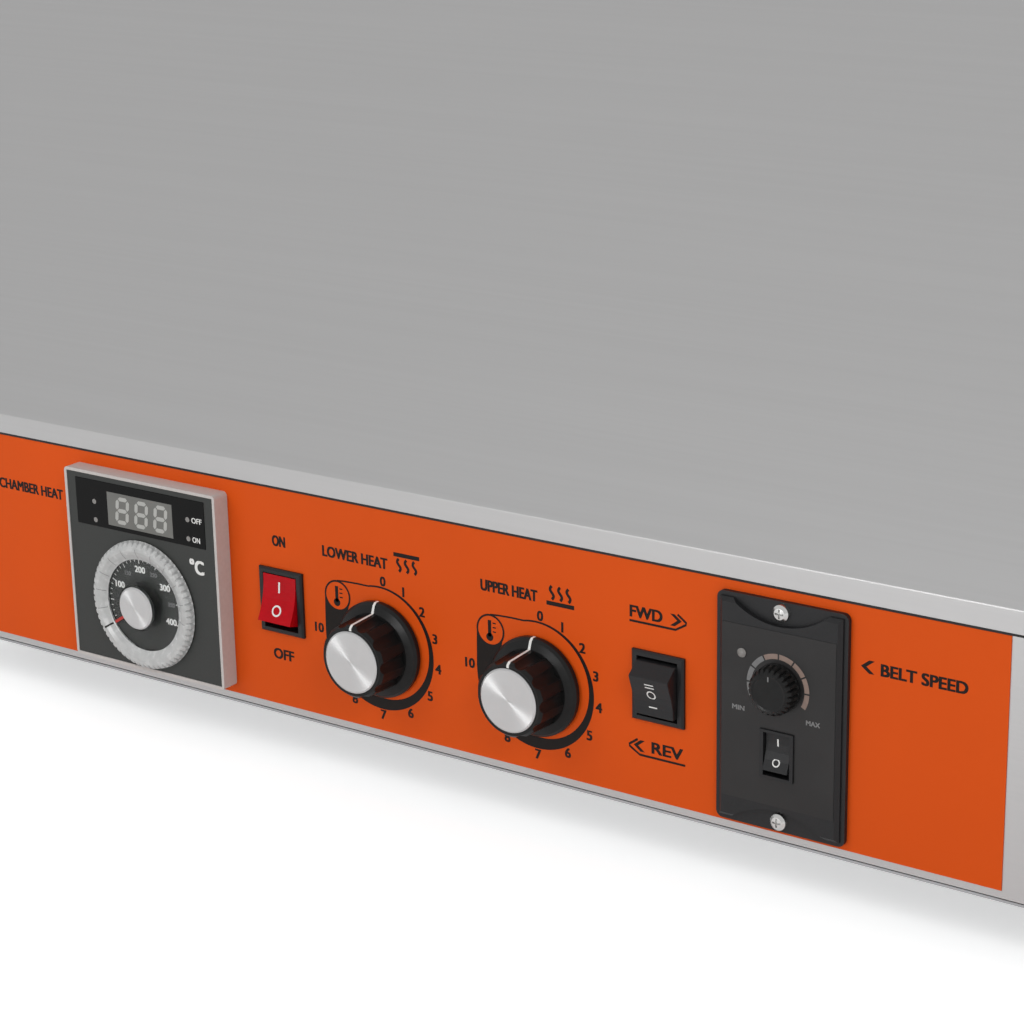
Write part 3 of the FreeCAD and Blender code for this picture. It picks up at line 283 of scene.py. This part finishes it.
def arc_band(middle, inner, outer, first, last, steps=6):
    turns = [first + (last - first) * k / steps for k in range(steps + 1)]
    return [polar(middle, outer, t) for t in turns] + [polar(middle, inner, t) for t in turns[::-1]]


def strip_loops(points, width, closed=False):
    # a band of constant width along a line of places, as quads
    n = len(points)
    left = []
    right = []
    for i in range(n):
        before = Vector(points[(i - 1) % n] if closed or i > 0 else points[i])
        after = Vector(points[(i + 1) % n] if closed or i < n - 1 else points[i])
        along = (after - before).normalized()
        side = Vector((-along.y, along.x)) * width / 2
        left.append(tuple(Vector(points[i]) + side))
        right.append(tuple(Vector(points[i]) - side))
    last = n if closed else n - 1
    return [[left[i], right[i], right[(i + 1) % n], left[(i + 1) % n]] for i in range(last)]


def front_order(loop, start):
    # corner numbers of one outline, in the order that turns its face to the front
    twice_area = sum(a[0] * b[1] - b[0] * a[1] for a, b in zip(loop, loop[1:] + loop[:1]))
    order = list(range(start, start + len(loop)))
    return order if twice_area > 0 else order[::-1]


def flat_print(name, loops, mat, body="oven", out=LABEL_PRINT):
    # each closed outline is one filled face
    verts = []
    faces = []
    for loop in loops:
        faces.append(front_order(loop, len(verts)))
        verts += [at(place, out) for place in loop]
    mesh_piece(name, verts, faces, mat, body)


def words(name, text, middle, height, mat, width=None, out=LABEL_PRINT, bold=0.06):
    # generic lettering; without a width it keeps the font's proportions
    font = bpy.data.curves.new(name, "FONT")
    font.body = text
    font.resolution_u = 4
    flat = evaluated_mesh(name, font)
    xs = [v.co.x for v in flat.vertices]
    ys = [v.co.y for v in flat.vertices]
    scale_z = height / (max(ys) - min(ys))
    scale_x = width / (max(xs) - min(xs)) if width else scale_z
    mid_x = (max(xs) + min(xs)) / 2
    mid_y = (max(ys) + min(ys)) / 2
    # struck five times, a little apart, so that the strokes are bold
    side = bold * height
    rise = side / 2
    layer = 0.004
    verts = []
    faces = []
    for k, (dx, dz) in enumerate(((-side, -rise), (side, -rise), (0.0, 0.0), (-side, rise), (side, rise))):
        start = len(verts)
        for v in flat.vertices:
            place = shifted(middle, (v.co.x - mid_x) * scale_x + dx, (v.co.y - mid_y) * scale_z + dz)
            verts.append(at(place, out + layer * k))
        faces += [[start + i for i in p.vertices] for p in flat.polygons if p.area > NO_AREA]
    bpy.data.meshes.remove(flat)
    mesh_piece(name, verts, faces, mat, "oven")


# Label: headings, each placed from the middle of its control, and signs

LEGEND_HEIGHT = 5.0
LEGENDS = (
    ("legend_chamber", "CHAMBER HEAT", THERMOSTAT, -81.25, 29.0, 43.5),
    ("legend_on", "ON", POWER, -1.0, 29.0, 7.4),
    ("legend_off", "OFF", POWER, -1.0, -26.6, 11.8),
    ("legend_lower", "LOWER HEAT", LOWER_KNOB, -13.4, 40.9, 37.0),
    ("legend_upper", "UPPER HEAT", UPPER_KNOB, -14.0, 40.9, 29.6),
    ("legend_speed", "BELT SPEED", SPEED, 62.1, 29.1, 37.0),
    ("legend_forward", "FWD", WAY, -6.4, 31.8, 15.6),
    ("legend_reverse", "REV", WAY, 3.9, -27.8, 15.0),
)
for name, text, control, dx, dz, width in LEGENDS:
    words(name, text, shifted(control, dx, dz), LEGEND_HEIGHT, BLACK, width)


def heat_sign(name, knob, left, right, bar, foot, head):
    # three waves of heat and a bar, placed from the knob's middle
    bar_half = 0.95
    swing = 0.9
    stroke = 1.35
    steps = 14
    loops = [rect(knob, left, right, bar - bar_half, bar + bar_half)]
    for share in (0.2, 0.5, 0.8):
        x = left + (right - left) * share
        wave = [(x + swing * math.sin(2 * math.pi * i / steps), foot + (head - foot) * i / steps)
                for i in range(steps + 1)]
        loops += strip_loops([shifted(knob, *point) for point in wave], stroke)
    flat_print(name, loops, BLACK)


heat_sign("sign_lower_heat", LOWER_KNOB, 8.9, 23.3, 46.4, 38.6, 44.6)
heat_sign("sign_upper_heat", UPPER_KNOB, 5.7, 20.0, 39.1, 40.9, 47.0)


def chevron(tail, half, reach, thick):
    # flat arrow head that points to +x when reach and thick are positive
    x, z = tail
    return [[(x, z + half), (x + thick, z + half), (x + thick + reach, z), (x + reach, z)],
            [(x, z - half), (x + reach, z), (x + thick + reach, z), (x + thick, z - half)]]


def way_arrow(name, middle, way):
    # open arrow round a direction word: underline, bent to a tip, and a solid chevron inside
    line = [(-14.4, 0.0), (8.2, 0.0), (13.2, 3.0), (13.4, 3.9), (9.2, 6.9)]
    loops = strip_loops([shifted(middle, way * x, z) for x, z in line], 1.0)
    loops += chevron(shifted(middle, way * 5.6, 4.1), 2.6, way * 3.4, way * 2.2)
    flat_print(name, loops, BLACK)


way_arrow("arrow_forward", shifted(WAY, -0.2, 27.5), 1)
way_arrow("arrow_reverse", shifted(WAY, -1.6, -32.3), -1)
flat_print("speed_chevron", chevron(shifted(SPEED, 40.6, 29.3), 2.8, -3.6, -2.4), BLACK)


def knob_scale(name, knob):
    # numbers 0 to 10 that spread out clockwise; the 10 stands further out
    number_height = 4.4
    for i in range(11):
        turn = math.radians(4 + 20.5 * i + 0.66 * i * i)
        reach = 35.9 if i == 10 else 32.3
        words("%s_number_%d" % (name, i), str(i), polar(knob, reach, turn), number_height, BLACK)
    # ring that thickens clockwise, from a thin line to the black ground of the thermometer sign
    ring_radius = 29.6
    thin = 0.8
    first = math.radians(-13.0)
    last = math.radians(274.0)
    steps = 72
    edge = []
    for k in range(steps + 1):
        t = k / steps
        outer = ring_radius + 2.4 * max(0.0, 4 * t - 3)
        inner = outer - thin - 9.0 * t ** 1.6
        edge.append([polar(knob, r, first + (last - first) * t) for r in (outer, inner)])
    loops = [[a[0], b[0], b[1], a[1]] for a, b in zip(edge, edge[1:])]
    lead = [(-24.2, 27.8), (-20.2, 28.2), (-13.0, 28.5), (-6.6, 28.5)]
    loops += strip_loops([shifted(knob, x, z) for x, z in lead], thin)
    ground = [(-31.6, 20.6), (-32.0, 2.2), (-22.4, 1.6), (-21.4, 8.0), (-18.6, 13.4), (-17.6, 18.6),
              (-24.2, 20.6)]
    loops.append([shifted(knob, x, z) for x, z in ground])
    flat_print(name + "_ring", loops, BLACK)
    # the sign: a thermometer with three ticks in a circle
    sign = shifted(knob, -24.2, 20.6)
    sign_edge = circle(sign, 7.0)
    flat_print(name + "_sign_ground", [sign_edge], M["label_orange"], out=SIGN_GROUND)
    loops = strip_loops(sign_edge, 0.9, closed=True)
    loops.append(circle(shifted(sign, -0.4, -3.2), 1.9, 20))
    loops.append(rect(sign, -1.3, 0.5, -3.0, 4.6))
    loops += [rect(sign, 1.2, 3.0, z, z + 0.6) for z in (3.2, 1.2, -0.8)]
    flat_print(name + "_sign", loops, BLACK, out=SIGN_PRINT)


def knob_pointer(name, knob, body):
    # white line from the cap's edge to the skirt's edge, as (radius, out)
    line = [(14.8, 21.56), (16.0, 21.56), (17.28, 20.1), (18.06, 5.46), (18.3, 5.46), (21.6, 4.28),
            (22.76, 3.06), (22.76, 1.0)]
    half = 0.65
    verts = [at(shifted(knob, x, r), out) for r, out in line for x in (half, -half)]
    mesh_piece(name, verts, ribbon_faces(0, len(line)), WHITE, body)


knob_scale("lower_scale", LOWER_KNOB)
knob_scale("upper_scale", UPPER_KNOB)
knob_pointer("lower_pointer", LOWER_KNOB, "lower_heat_knob_body")
knob_pointer("upper_pointer", UPPER_KNOB, "upper_heat_knob_body")


def joint_strip(name, out):
    # dark strip in the gap between the label and the hood's lip, over the whole length of the panel: it
    # fills the real gap and is also painted shade, a dark sheet standing in for the shadow under the lip
    lo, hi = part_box("front_panel")
    z0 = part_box("panel_label")[1].z / MM + 0.15
    z1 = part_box("hood_cover")[0].z / MM - 0.1
    bevel = 0.3
    back = -0.3
    section = [(z0, back), (z0, 0.6 * out), (z0 + bevel, out),
               (z1 - bevel, out), (z1, 0.6 * out), (z1, back)]
    verts = [at((x / MM, z), o) for x in (lo.x, hi.x) for z, o in section]
    mesh_piece(name, verts, prism_faces(len(section)), M["rubber_black"], "oven")


# painted shade: a dark strip that stands in for the shadow under the hood's lip
joint_strip("lip_painted_shade", 0.4)


# Turned forms with grooves round their edge

def grooved(name, middle, rings, grooves, slot, body, node, hollow=False):
    # each ring is (out, radius, groove depth), from the back to the front
    steps = 8
    sharpness = 1.8
    n = grooves * steps
    verts = []
    for out, radius, depth in rings:
        for k in range(n):
            turn = 2 * math.pi * k / n
            r = radius - depth * max(0.0, math.cos(grooves * turn)) ** sharpness
            verts.append(at(polar(middle, r, turn), out))
    faces = wall_faces(n, len(rings), hollow)
    if not hollow:
        faces.append(list(range(len(verts) - n, len(verts)))[::-1])
        faces.append(list(range(n)))
    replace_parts(mesh_piece(name, verts, faces, M[slot], body), node)


DIAL_RINGS = [(9.4, 22.9, 0.0), (9.4, 32.0, 0.0), (9.8, 32.0, 1.1), (11.4, 31.5, 1.1), (12.4, 30.4, 0.8),
              (12.7, 29.4, 0.0), (12.7, 27.4, 0.0), (11.9, 25.4, 0.0), (10.7, 23.4, 0.0), (10.5, 22.9, 0.0)]
SPEED_RINGS = [(4.9, 10.4, 0.0), (6.0, 10.4, 0.0), (6.3, 10.4, 0.9), (9.5, 10.3, 0.9), (11.3, 9.9, 0.9),
               (12.4, 9.0, 0.5), (13.0, 7.7, 0.0), (12.8, 6.9, 0.0)]
grooved("dial_rim", DIAL, DIAL_RINGS, 60, "frosted_plastic", "thermostat_dial_body", "thermostat_dial",
        hollow=True)
grooved("speed_grip", SPEED_KNOB, SPEED_RINGS, 24, "gloss_black", "speed_knob_body", "speed_knob")
flat_print("speed_grip_mark", [rect(SPEED_KNOB, -0.3, 0.3, 5.2, 7.2)], GREY, "speed_knob_body", GRIP_PRINT)


# Thermostat: scale, pointer, lamps and display

SCALE_START = -122
SCALE_SPAN = 231
for i in range(2, 9):
    # whole hundreds stand larger than the fifties
    hundred = i % 2 == 0
    turn = math.radians(SCALE_START + SCALE_SPAN * i / 8)
    words("dial_number_%d" % (50 * i), str(50 * i), polar(DIAL, 17.4, turn), 3.1 if hundred else 2.1,
          WHITE if hundred else GREY, out=FACE_PRINT)
ticks = []
for i in range(33):
    turn = math.radians(SCALE_START + SCALE_SPAN * i / 32)
    ticks.append(ray(DIAL, turn, 20.4 if i % 4 == 0 else 21.4, 22.6, 0.22))
flat_print("dial_ticks", ticks, WHITE, out=FACE_PRINT)
flat_print("dial_pointer", [ray(DIAL, math.radians(SCALE_START), 12.2, 22.4, 0.7)], M["print_red"],
           "thermostat_dial_body", LENS_PRINT)


def slope_lines(name, turns, width, mat):
    # lines down the dial rim's inner slope, as (radius, out), at angles in degrees
    line = [(28.6, 12.74), (27.4, 12.74), (25.4, 11.94), (23.6, 10.84)]
    verts = []
    faces = []
    for turn in turns:
        s = math.sin(math.radians(turn))
        c = math.cos(math.radians(turn))
        faces += ribbon_faces(len(verts), len(line))
        for r, out in line:
            verts += [at(shifted(DIAL, r * s + w * c, r * c - w * s), out) for w in (-width / 2, width / 2)]
    mesh_piece(name, verts, faces, mat, "thermostat_dial_body")


slope_lines("dial_rim_lines", range(-102, 99, 20), 0.3, GREY)
slope_lines("dial_pointer_mark", [SCALE_START], 0.9, BLACK)
words("degree_sign", "°C", shifted(THERMOSTAT, 34.7, 11.2), 7.0, WHITE, 8.2, FACE_PRINT)
LAMPS = (("lamp_1", -29.2, 33.1), ("lamp_2", -29.0, 23.9), ("lamp_3", 30.6, 33.9), ("lamp_4", 30.6, 24.5))
for name, dx, dz in LAMPS:
    lamp = circle(shifted(THERMOSTAT, dx, dz), 1.25, 20)
    flat_print(name, [lamp], M["led_clear"], out=WINDOW_PRINT)
words("lamp_off", "OFF", shifted(THERMOSTAT, 36.3, 34.0), 2.6, WHITE, 6.2, WINDOW_PRINT, 0.03)
words("lamp_on", "ON", shifted(THERMOSTAT, 35.5, 24.5), 2.6, WHITE, 4.6, WINDOW_PRINT, 0.03)
display = rect(THERMOSTAT, -20.6, 21.0, 22.9, 39.5)
flat_print("display_ground", [display], M["display_grey"], out=WINDOW_PRINT)


def digit(corner, w, h):
    # the seven unlit bars of one figure, pointed at both ends and leaning a little to the right
    thick = 2.0
    gap = 0.35
    lean = 0.11
    ends = [((0, h), (w, h)), ((0, h / 2), (w, h / 2)), ((0, 0), (w, 0)), ((0, h / 2), (0, h)),
            ((w, h / 2), (w, h)), ((0, 0), (0, h / 2)), ((w, 0), (w, h / 2))]
    loops = []
    for first, last in ends:
        along = (Vector(last) - Vector(first)).normalized()
        p = Vector(first) + along * gap
        q = Vector(last) - along * gap
        side = Vector((-along.y, along.x)) * thick / 2
        point = along * thick / 2
        loop = [p, p + side + point, q + side - point, q, q - side - point, p - side + point]
        loops.append([shifted(corner, v.x + lean * v.y, v.y) for v in loop])
    return loops


bars = []
for dx in (-15.0, -2.8, 9.4):
    bars += digit(shifted(THERMOSTAT, dx, 25.3), 6.6, 11.6)
flat_print("display_bars", bars, M["segment_grey"], out=WINDOW_PRINT + 0.04)


# Rockers: each face is a profile of (y, z) from its pivot, from the lower end to the upper

POWER_FACE = [(-9.0, -11.1), (-8.2, -7.77), (-7.6, -3.885), (-7.4, 0.0), (-7.6, 3.885), (-8.2, 7.77),
              (-9.0, 11.1)]
WAY_FACE = [(-8.5, -11.5), (-8.7, -7.7), (-9.2, -4.8), (-10.0, -1.9), (-12.0, 3.3), (-13.2, 6.8),
            (-10.6, 8.8), (-7.0, 11.8)]
SPEED_FACE = [(-7.2, -8.0), (-6.2, -3.6), (-5.9, 0.0), (-6.2, 3.6), (-7.2, 8.0)]
POWER_ROCKER = dict(pivot=POWER, pivot_out=-4.0, tilt=math.radians(-14), face=POWER_FACE,
                    body="power_rocker_body")
WAY_ROCKER = dict(pivot=WAY, pivot_out=-4.0, tilt=0.0, face=WAY_FACE, body="direction_rocker_body")
SPEED_ROCKER = dict(pivot=SPEED_SWITCH, pivot_out=-1.6, tilt=math.radians(-10), face=SPEED_FACE,
                    body="speed_rocker_body")
FACE_MIDDLE = (0.0, 0.0)


def ridged_rocker(name, half, pivot, pivot_out, face, body, node):
    # the three-way rocker's cap: hollow lower face, ridge and short upper face over a rounded back
    back = [(0.5, 11.9), (3.0, 6.4), (4.0, 0.0), (3.0, -6.4), (0.5, -11.6)]
    section = face + back
    verts = [at(shifted(pivot, x, z), pivot_out - y) for x in (-half, half) for y, z in section]
    cap = mesh_piece(name, verts, prism_faces(len(section)), M["black_plastic"], body)
    bevel = cap.modifiers.new("edges", "BEVEL")
    bevel.width = 0.35 * MM
    bevel.segments = 2
    bevel.limit_method = "ANGLE"
    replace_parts(cap, node)


def rocker_mark(name, loops, height, pivot, pivot_out, tilt, face, body):
    # loops are small outlines in the plane of the face, about the point at this height on its profile
    for (y0, z0), (y1, z1) in zip(face, face[1:]):
        if z0 <= height <= z1:
            y = y0 + (y1 - y0) * (height - z0) / (z1 - z0)
            lean = math.atan2(y1 - y0, z1 - z0)
    s = math.sin(tilt)
    c = math.cos(tilt)
    out = pivot_out - (y * c - height * s)
    middle = shifted(pivot, 0.0, y * s + height * c)
    turn = tilt - lean
    clearance = 0.12
    verts = []
    faces = []
    for loop in loops:
        faces.append(front_order(loop, len(verts)))
        for x, z in loop:
            verts.append(at(shifted(middle, x, z * math.cos(turn)), out + z * math.sin(turn) + clearance))
    mesh_piece(name, verts, faces, WHITE, body)


def ring_mark(r, width, steps):
    return strip_loops(circle(FACE_MIDDLE, r, steps), width, closed=True)


ridged_rocker("direction_cap", 9.6, WAY, -4.0, WAY_FACE, "direction_rocker_body", "direction_rocker")
rocker_mark("power_mark_i", [rect(FACE_MIDDLE, -0.5, 0.5, -2.6, 2.6)], 5.6, **POWER_ROCKER)
rocker_mark("power_mark_o", ring_mark(2.3, 0.85, 28), -5.4, **POWER_ROCKER)
two_bars = [rect(FACE_MIDDLE, -2.2, 2.2, 0.5, 1.1), rect(FACE_MIDDLE, -2.2, 2.2, -1.1, -0.5)]
rocker_mark("way_mark_ii", two_bars, 3.2, **WAY_ROCKER)
rocker_mark("way_mark_o", ring_mark(1.9, 0.6, 28), -1.2, **WAY_ROCKER)
rocker_mark("way_mark_i", [rect(FACE_MIDDLE, -2.0, 2.0, -0.3, 0.3)], -7.2, **WAY_ROCKER)
rocker_mark("speed_mark_i", [rect(FACE_MIDDLE, -0.35, 0.35, -1.7, 1.7)], 4.2, **SPEED_ROCKER)
rocker_mark("speed_mark_o", ring_mark(1.5, 0.55, 24), -4.2, **SPEED_ROCKER)


# Speed controller: film, scale ring, small words and lamp

def film_piece(name, outline, opening, back, front):
    # thin sheet with a rectangular opening
    rings = ((outline, front), (outline, back), (opening, back), (opening, front))
    verts = [at(place, out) for loop, out in rings for place in loop]
    mesh_piece(name, verts, wall_faces(4, len(rings), closed=True), M["film_grey"], "oven")


film_outline = rect(SPEED, -26.1, 26.1, -38.1, 37.9)
switch_opening = rect(SPEED, -8.1, 7.5, -26.2, -4.6)
film_piece("speed_film", film_outline, switch_opening, 4.58, 4.8)
scale = []
for i in range(8):
    first = -118 + 30 * i
    scale.append(arc_band(SPEED_KNOB, 12.2, 14.4, math.radians(first), math.radians(first + 27)))
flat_print("speed_ring_low", scale[:3], GREY, out=PLATE_PRINT)
flat_print("speed_ring_high", scale[3:], M["print_tan"], out=PLATE_PRINT)
words("speed_min", "MIN", shifted(SPEED, -18.2, 1.9), 2.0, GREY, 5.6, PLATE_PRINT)
words("speed_max", "MAX", shifted(SPEED, 16.3, 1.9), 2.0, GREY, 6.2, PLATE_PRINT)


def lens(name, middle, r, out, rise):
    # small domed lamp lens in a rim; each ring is (share of the radius, share of the rise)
    rings = [(1.25, 0.0), (1.25, 0.4), (1.02, 0.4), (0.9, 0.7), (0.55, 0.93)]
    n = 24
    verts = [at(place, out + rise * h) for share, h in rings for place in circle(middle, r * share, n)]
    tip = len(verts)
    top = tip - n
    verts.append(at(middle, out + rise))
    faces = wall_faces(n, len(rings))
    faces += [[top + k, tip, top + (k + 1) % n] for k in range(n)]
    faces.append(list(range(n)))
    mesh_piece(name, verts, faces, M["led_clear"], "oven", smooth=True)


lens("speed_lamp", shifted(SPEED, -16.8, 25.9), 1.6, PLATE_PRINT - 0.1, 1.0)


# Wire belt: hooked strands round both rollers, in place of the plain net, and a little thinner than it.
# Lengths along the loop are counted in pitches.

BELT_LO, BELT_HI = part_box("mesh_belt")
WIRE = 1.2 * MM
THINNER = 0.92
PITCH = 15.0 * MM
RUN = 69
TURN = 6
BAYS = 7
HOOK = 0.86
HOOK_HALF = 4 * MM
BELT_RADIUS = (BELT_HI.z - BELT_LO.z) / 2 - WIRE
BELT_Z = (BELT_LO.z + BELT_HI.z) / 2
ROLLER_X = BELT_HI.x - WIRE - BELT_RADIUS


def belt_point(s):
    # x and z along the loop, from the left end of the upper run
    s = s % (2 * RUN + 2 * TURN)
    if s <= RUN:
        return -ROLLER_X + s * PITCH, BELT_Z + BELT_RADIUS
    s -= RUN
    if s <= TURN:
        a = math.pi / 2 - math.pi * s / TURN
        return ROLLER_X + BELT_RADIUS * math.cos(a), BELT_Z + BELT_RADIUS * math.sin(a)
    s -= TURN
    if s <= RUN:
        return ROLLER_X - s * PITCH, BELT_Z - BELT_RADIUS
    s -= RUN
    a = -math.pi / 2 - math.pi * s / TURN
    return -ROLLER_X + BELT_RADIUS * math.cos(a), BELT_Z + BELT_RADIUS * math.sin(a)


def belt_strand(i):
    # one wire across the belt, bent into open hooks that reach to the next wire
    y0 = BELT_LO.y + WIRE
    y1 = BELT_HI.y - WIRE
    bends = [(i + HOOK, y0), (i, y0)]
    for b in range(1, BAYS):
        y = y0 + b * (y1 - y0) / BAYS
        near = y - HOOK_HALF
        far = y + HOOK_HALF
        bends += [(i, near), (i + HOOK, near), (i + HOOK, far), (i, far)]
    bends += [(i, y1), (i + HOOK, y1)]
    strand = []
    for s, y in bends:
        x, z = belt_point(s)
        strand.append((x, y, z, 1))
    return strand


def wire_belt(name):
    curve = bpy.data.curves.new(name, "CURVE")
    curve.dimensions = "3D"
    curve.bevel_depth = WIRE * THINNER
    curve.bevel_resolution = 1
    curve.use_fill_caps = True
    for i in range(2 * RUN + 2 * TURN):
        strand = belt_strand(i)
        spline = curve.splines.new("POLY")
        spline.points.add(len(strand) - 1)
        for point, co in zip(spline.points, strand):
            point.co = co
    me = evaluated_mesh(name, curve)
    me.materials.clear()
    me.materials.append(M["belt_wire"])
    for p in me.polygons:
        p.use_smooth = True
    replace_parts(link(bpy.data.objects.new(name, me), "oven"), "mesh_belt")


wire_belt("wire_belt")


# Floor, light and camera

def ray_level(nt, level, additions, socket):
    # every ray sees the plain level, and each kind of ray named here its own addition
    path = nt.nodes.new("ShaderNodeLightPath")
    step = None
    for kind, more in additions:
        node = nt.nodes.new("ShaderNodeMath")
        node.operation = "MULTIPLY_ADD"
        node.inputs[1].default_value = more
        node.inputs[2].default_value = level
        nt.links.new(path.outputs[kind], node.inputs[0])
        if step:
            nt.links.new(step.outputs[0], node.inputs[2])
        step = node
    nt.links.new(step.outputs[0], socket)


def floor_material():
    # pale and matt; its glow lifts the floor towards white and leaves the shadow
    mat = bpy.data.materials.new("floor")
    mat.use_nodes = True
    nt = mat.node_tree
    bsdf = nt.nodes["Principled BSDF"]
    bsdf.inputs["Base Color"].default_value = (0.86, 0.86, 0.86, 1)
    bsdf.inputs["Roughness"].default_value = 0.9
    bsdf.inputs["Specular IOR Level"].default_value = 0.1
    glow = nt.nodes.new("ShaderNodeEmission")
    glow.inputs["Color"].default_value = (1, 1, 1, 1)
    ray_level(nt, 0.0, (("Is Camera Ray", 0.5), ("Is Glossy Ray", 0.22)), glow.inputs["Strength"])
    add = nt.nodes.new("ShaderNodeAddShader")
    nt.links.new(bsdf.outputs[0], add.inputs[0])
    nt.links.new(glow.outputs[0], add.inputs[1])
    nt.links.new(add.outputs[0], nt.nodes["Material Output"].inputs["Surface"])
    return mat


FLOOR_HALF = 8
floor_me = bpy.data.meshes.new("floor")
floor_corners = [(x * FLOOR_HALF, y * FLOOR_HALF, 0) for x, y in ((-1, -1), (1, -1), (1, 1), (-1, 1))]
floor_me.from_pydata(floor_corners, [], [(0, 1, 2, 3)])
floor_me.materials.append(floor_material())
floor = bpy.data.objects.new("floor", floor_me)
SCENE.collection.objects.link(floor)

world = bpy.data.worlds.new("studio")
SCENE.world = world
world.use_nodes = True
background = world.node_tree.nodes["Background"]
background.inputs["Color"].default_value = (1, 1, 1, 1)
WORLD_LEVEL = 0.55
brighter = (("Is Camera Ray", 0.45), ("Is Glossy Ray", 0.19), ("Is Transmission Ray", 0.45))
ray_level(world.node_tree, WORLD_LEVEL, brighter, background.inputs["Strength"])


def area(name, place, target, size, watts, mirrored=False):
    light = bpy.data.lights.new(name, "AREA")
    light.shape = "RECTANGLE"
    light.size = size[0]
    light.size_y = size[1]
    light.energy = watts
    obj = bpy.data.objects.new(name, light)
    SCENE.collection.objects.link(obj)
    obj.location = place
    obj.visible_glossy = mirrored
    obj.rotation_euler = (Vector(target) - Vector(place)).to_track_quat("-Z", "Y").to_euler()


area("key", (-1.1, -1.7, 1.7), (0, -0.2, 0.15), (1.3, 1.0), 12)
area("fill", (1.7, -1.5, 1.5), (0, -0.1, 0.2), (0.7, 0.7), 12)
# the only lamp that the metal mirrors: it makes the highlight on the knob caps
area("glint", (-0.4, -2.2, 0.22), (0, -0.26, 0.08), (0.25, 0.25), 5, mirrored=True)
area("back", (0.4, 1.9, 1.6), (0, 0.1, 0.2), (1.8, 1.0), 12)

# The camera fitted to the photograph: its angles, place and focal length
VIEW_TURN = math.radians(-35.494)
VIEW_DROP = math.radians(17.457)
VIEW_ROLL = math.radians(-1.1445)
FOCAL_PIXELS = 2557.94
FRAME_PIXELS = 1024
SENSOR = 36
EYE = Vector((0.65444, FACE_Y * MM - 0.84779, 0.47746))


def fitted_camera():
    flat = Vector((math.sin(VIEW_TURN), math.cos(VIEW_TURN), 0))
    ahead = flat * math.cos(VIEW_DROP) - Vector((0, 0, math.sin(VIEW_DROP)))
    level = Vector((math.cos(VIEW_TURN), -math.sin(VIEW_TURN), 0))
    upright = level.cross(ahead)
    right = math.cos(VIEW_ROLL) * level + math.sin(VIEW_ROLL) * upright
    up = math.cos(VIEW_ROLL) * upright - math.sin(VIEW_ROLL) * level
    data = bpy.data.cameras.new("camera")
    data.sensor_width = SENSOR
    data.lens = FOCAL_PIXELS / FRAME_PIXELS * SENSOR
    data.clip_end = 50
    camera = bpy.data.objects.new("camera", data)
    SCENE.collection.objects.link(camera)
    axes = Matrix((right, up, -ahead)).transposed().to_4x4()
    camera.matrix_world = Matrix.Translation(EYE) @ axes
    SCENE.camera = camera


fitted_camera()
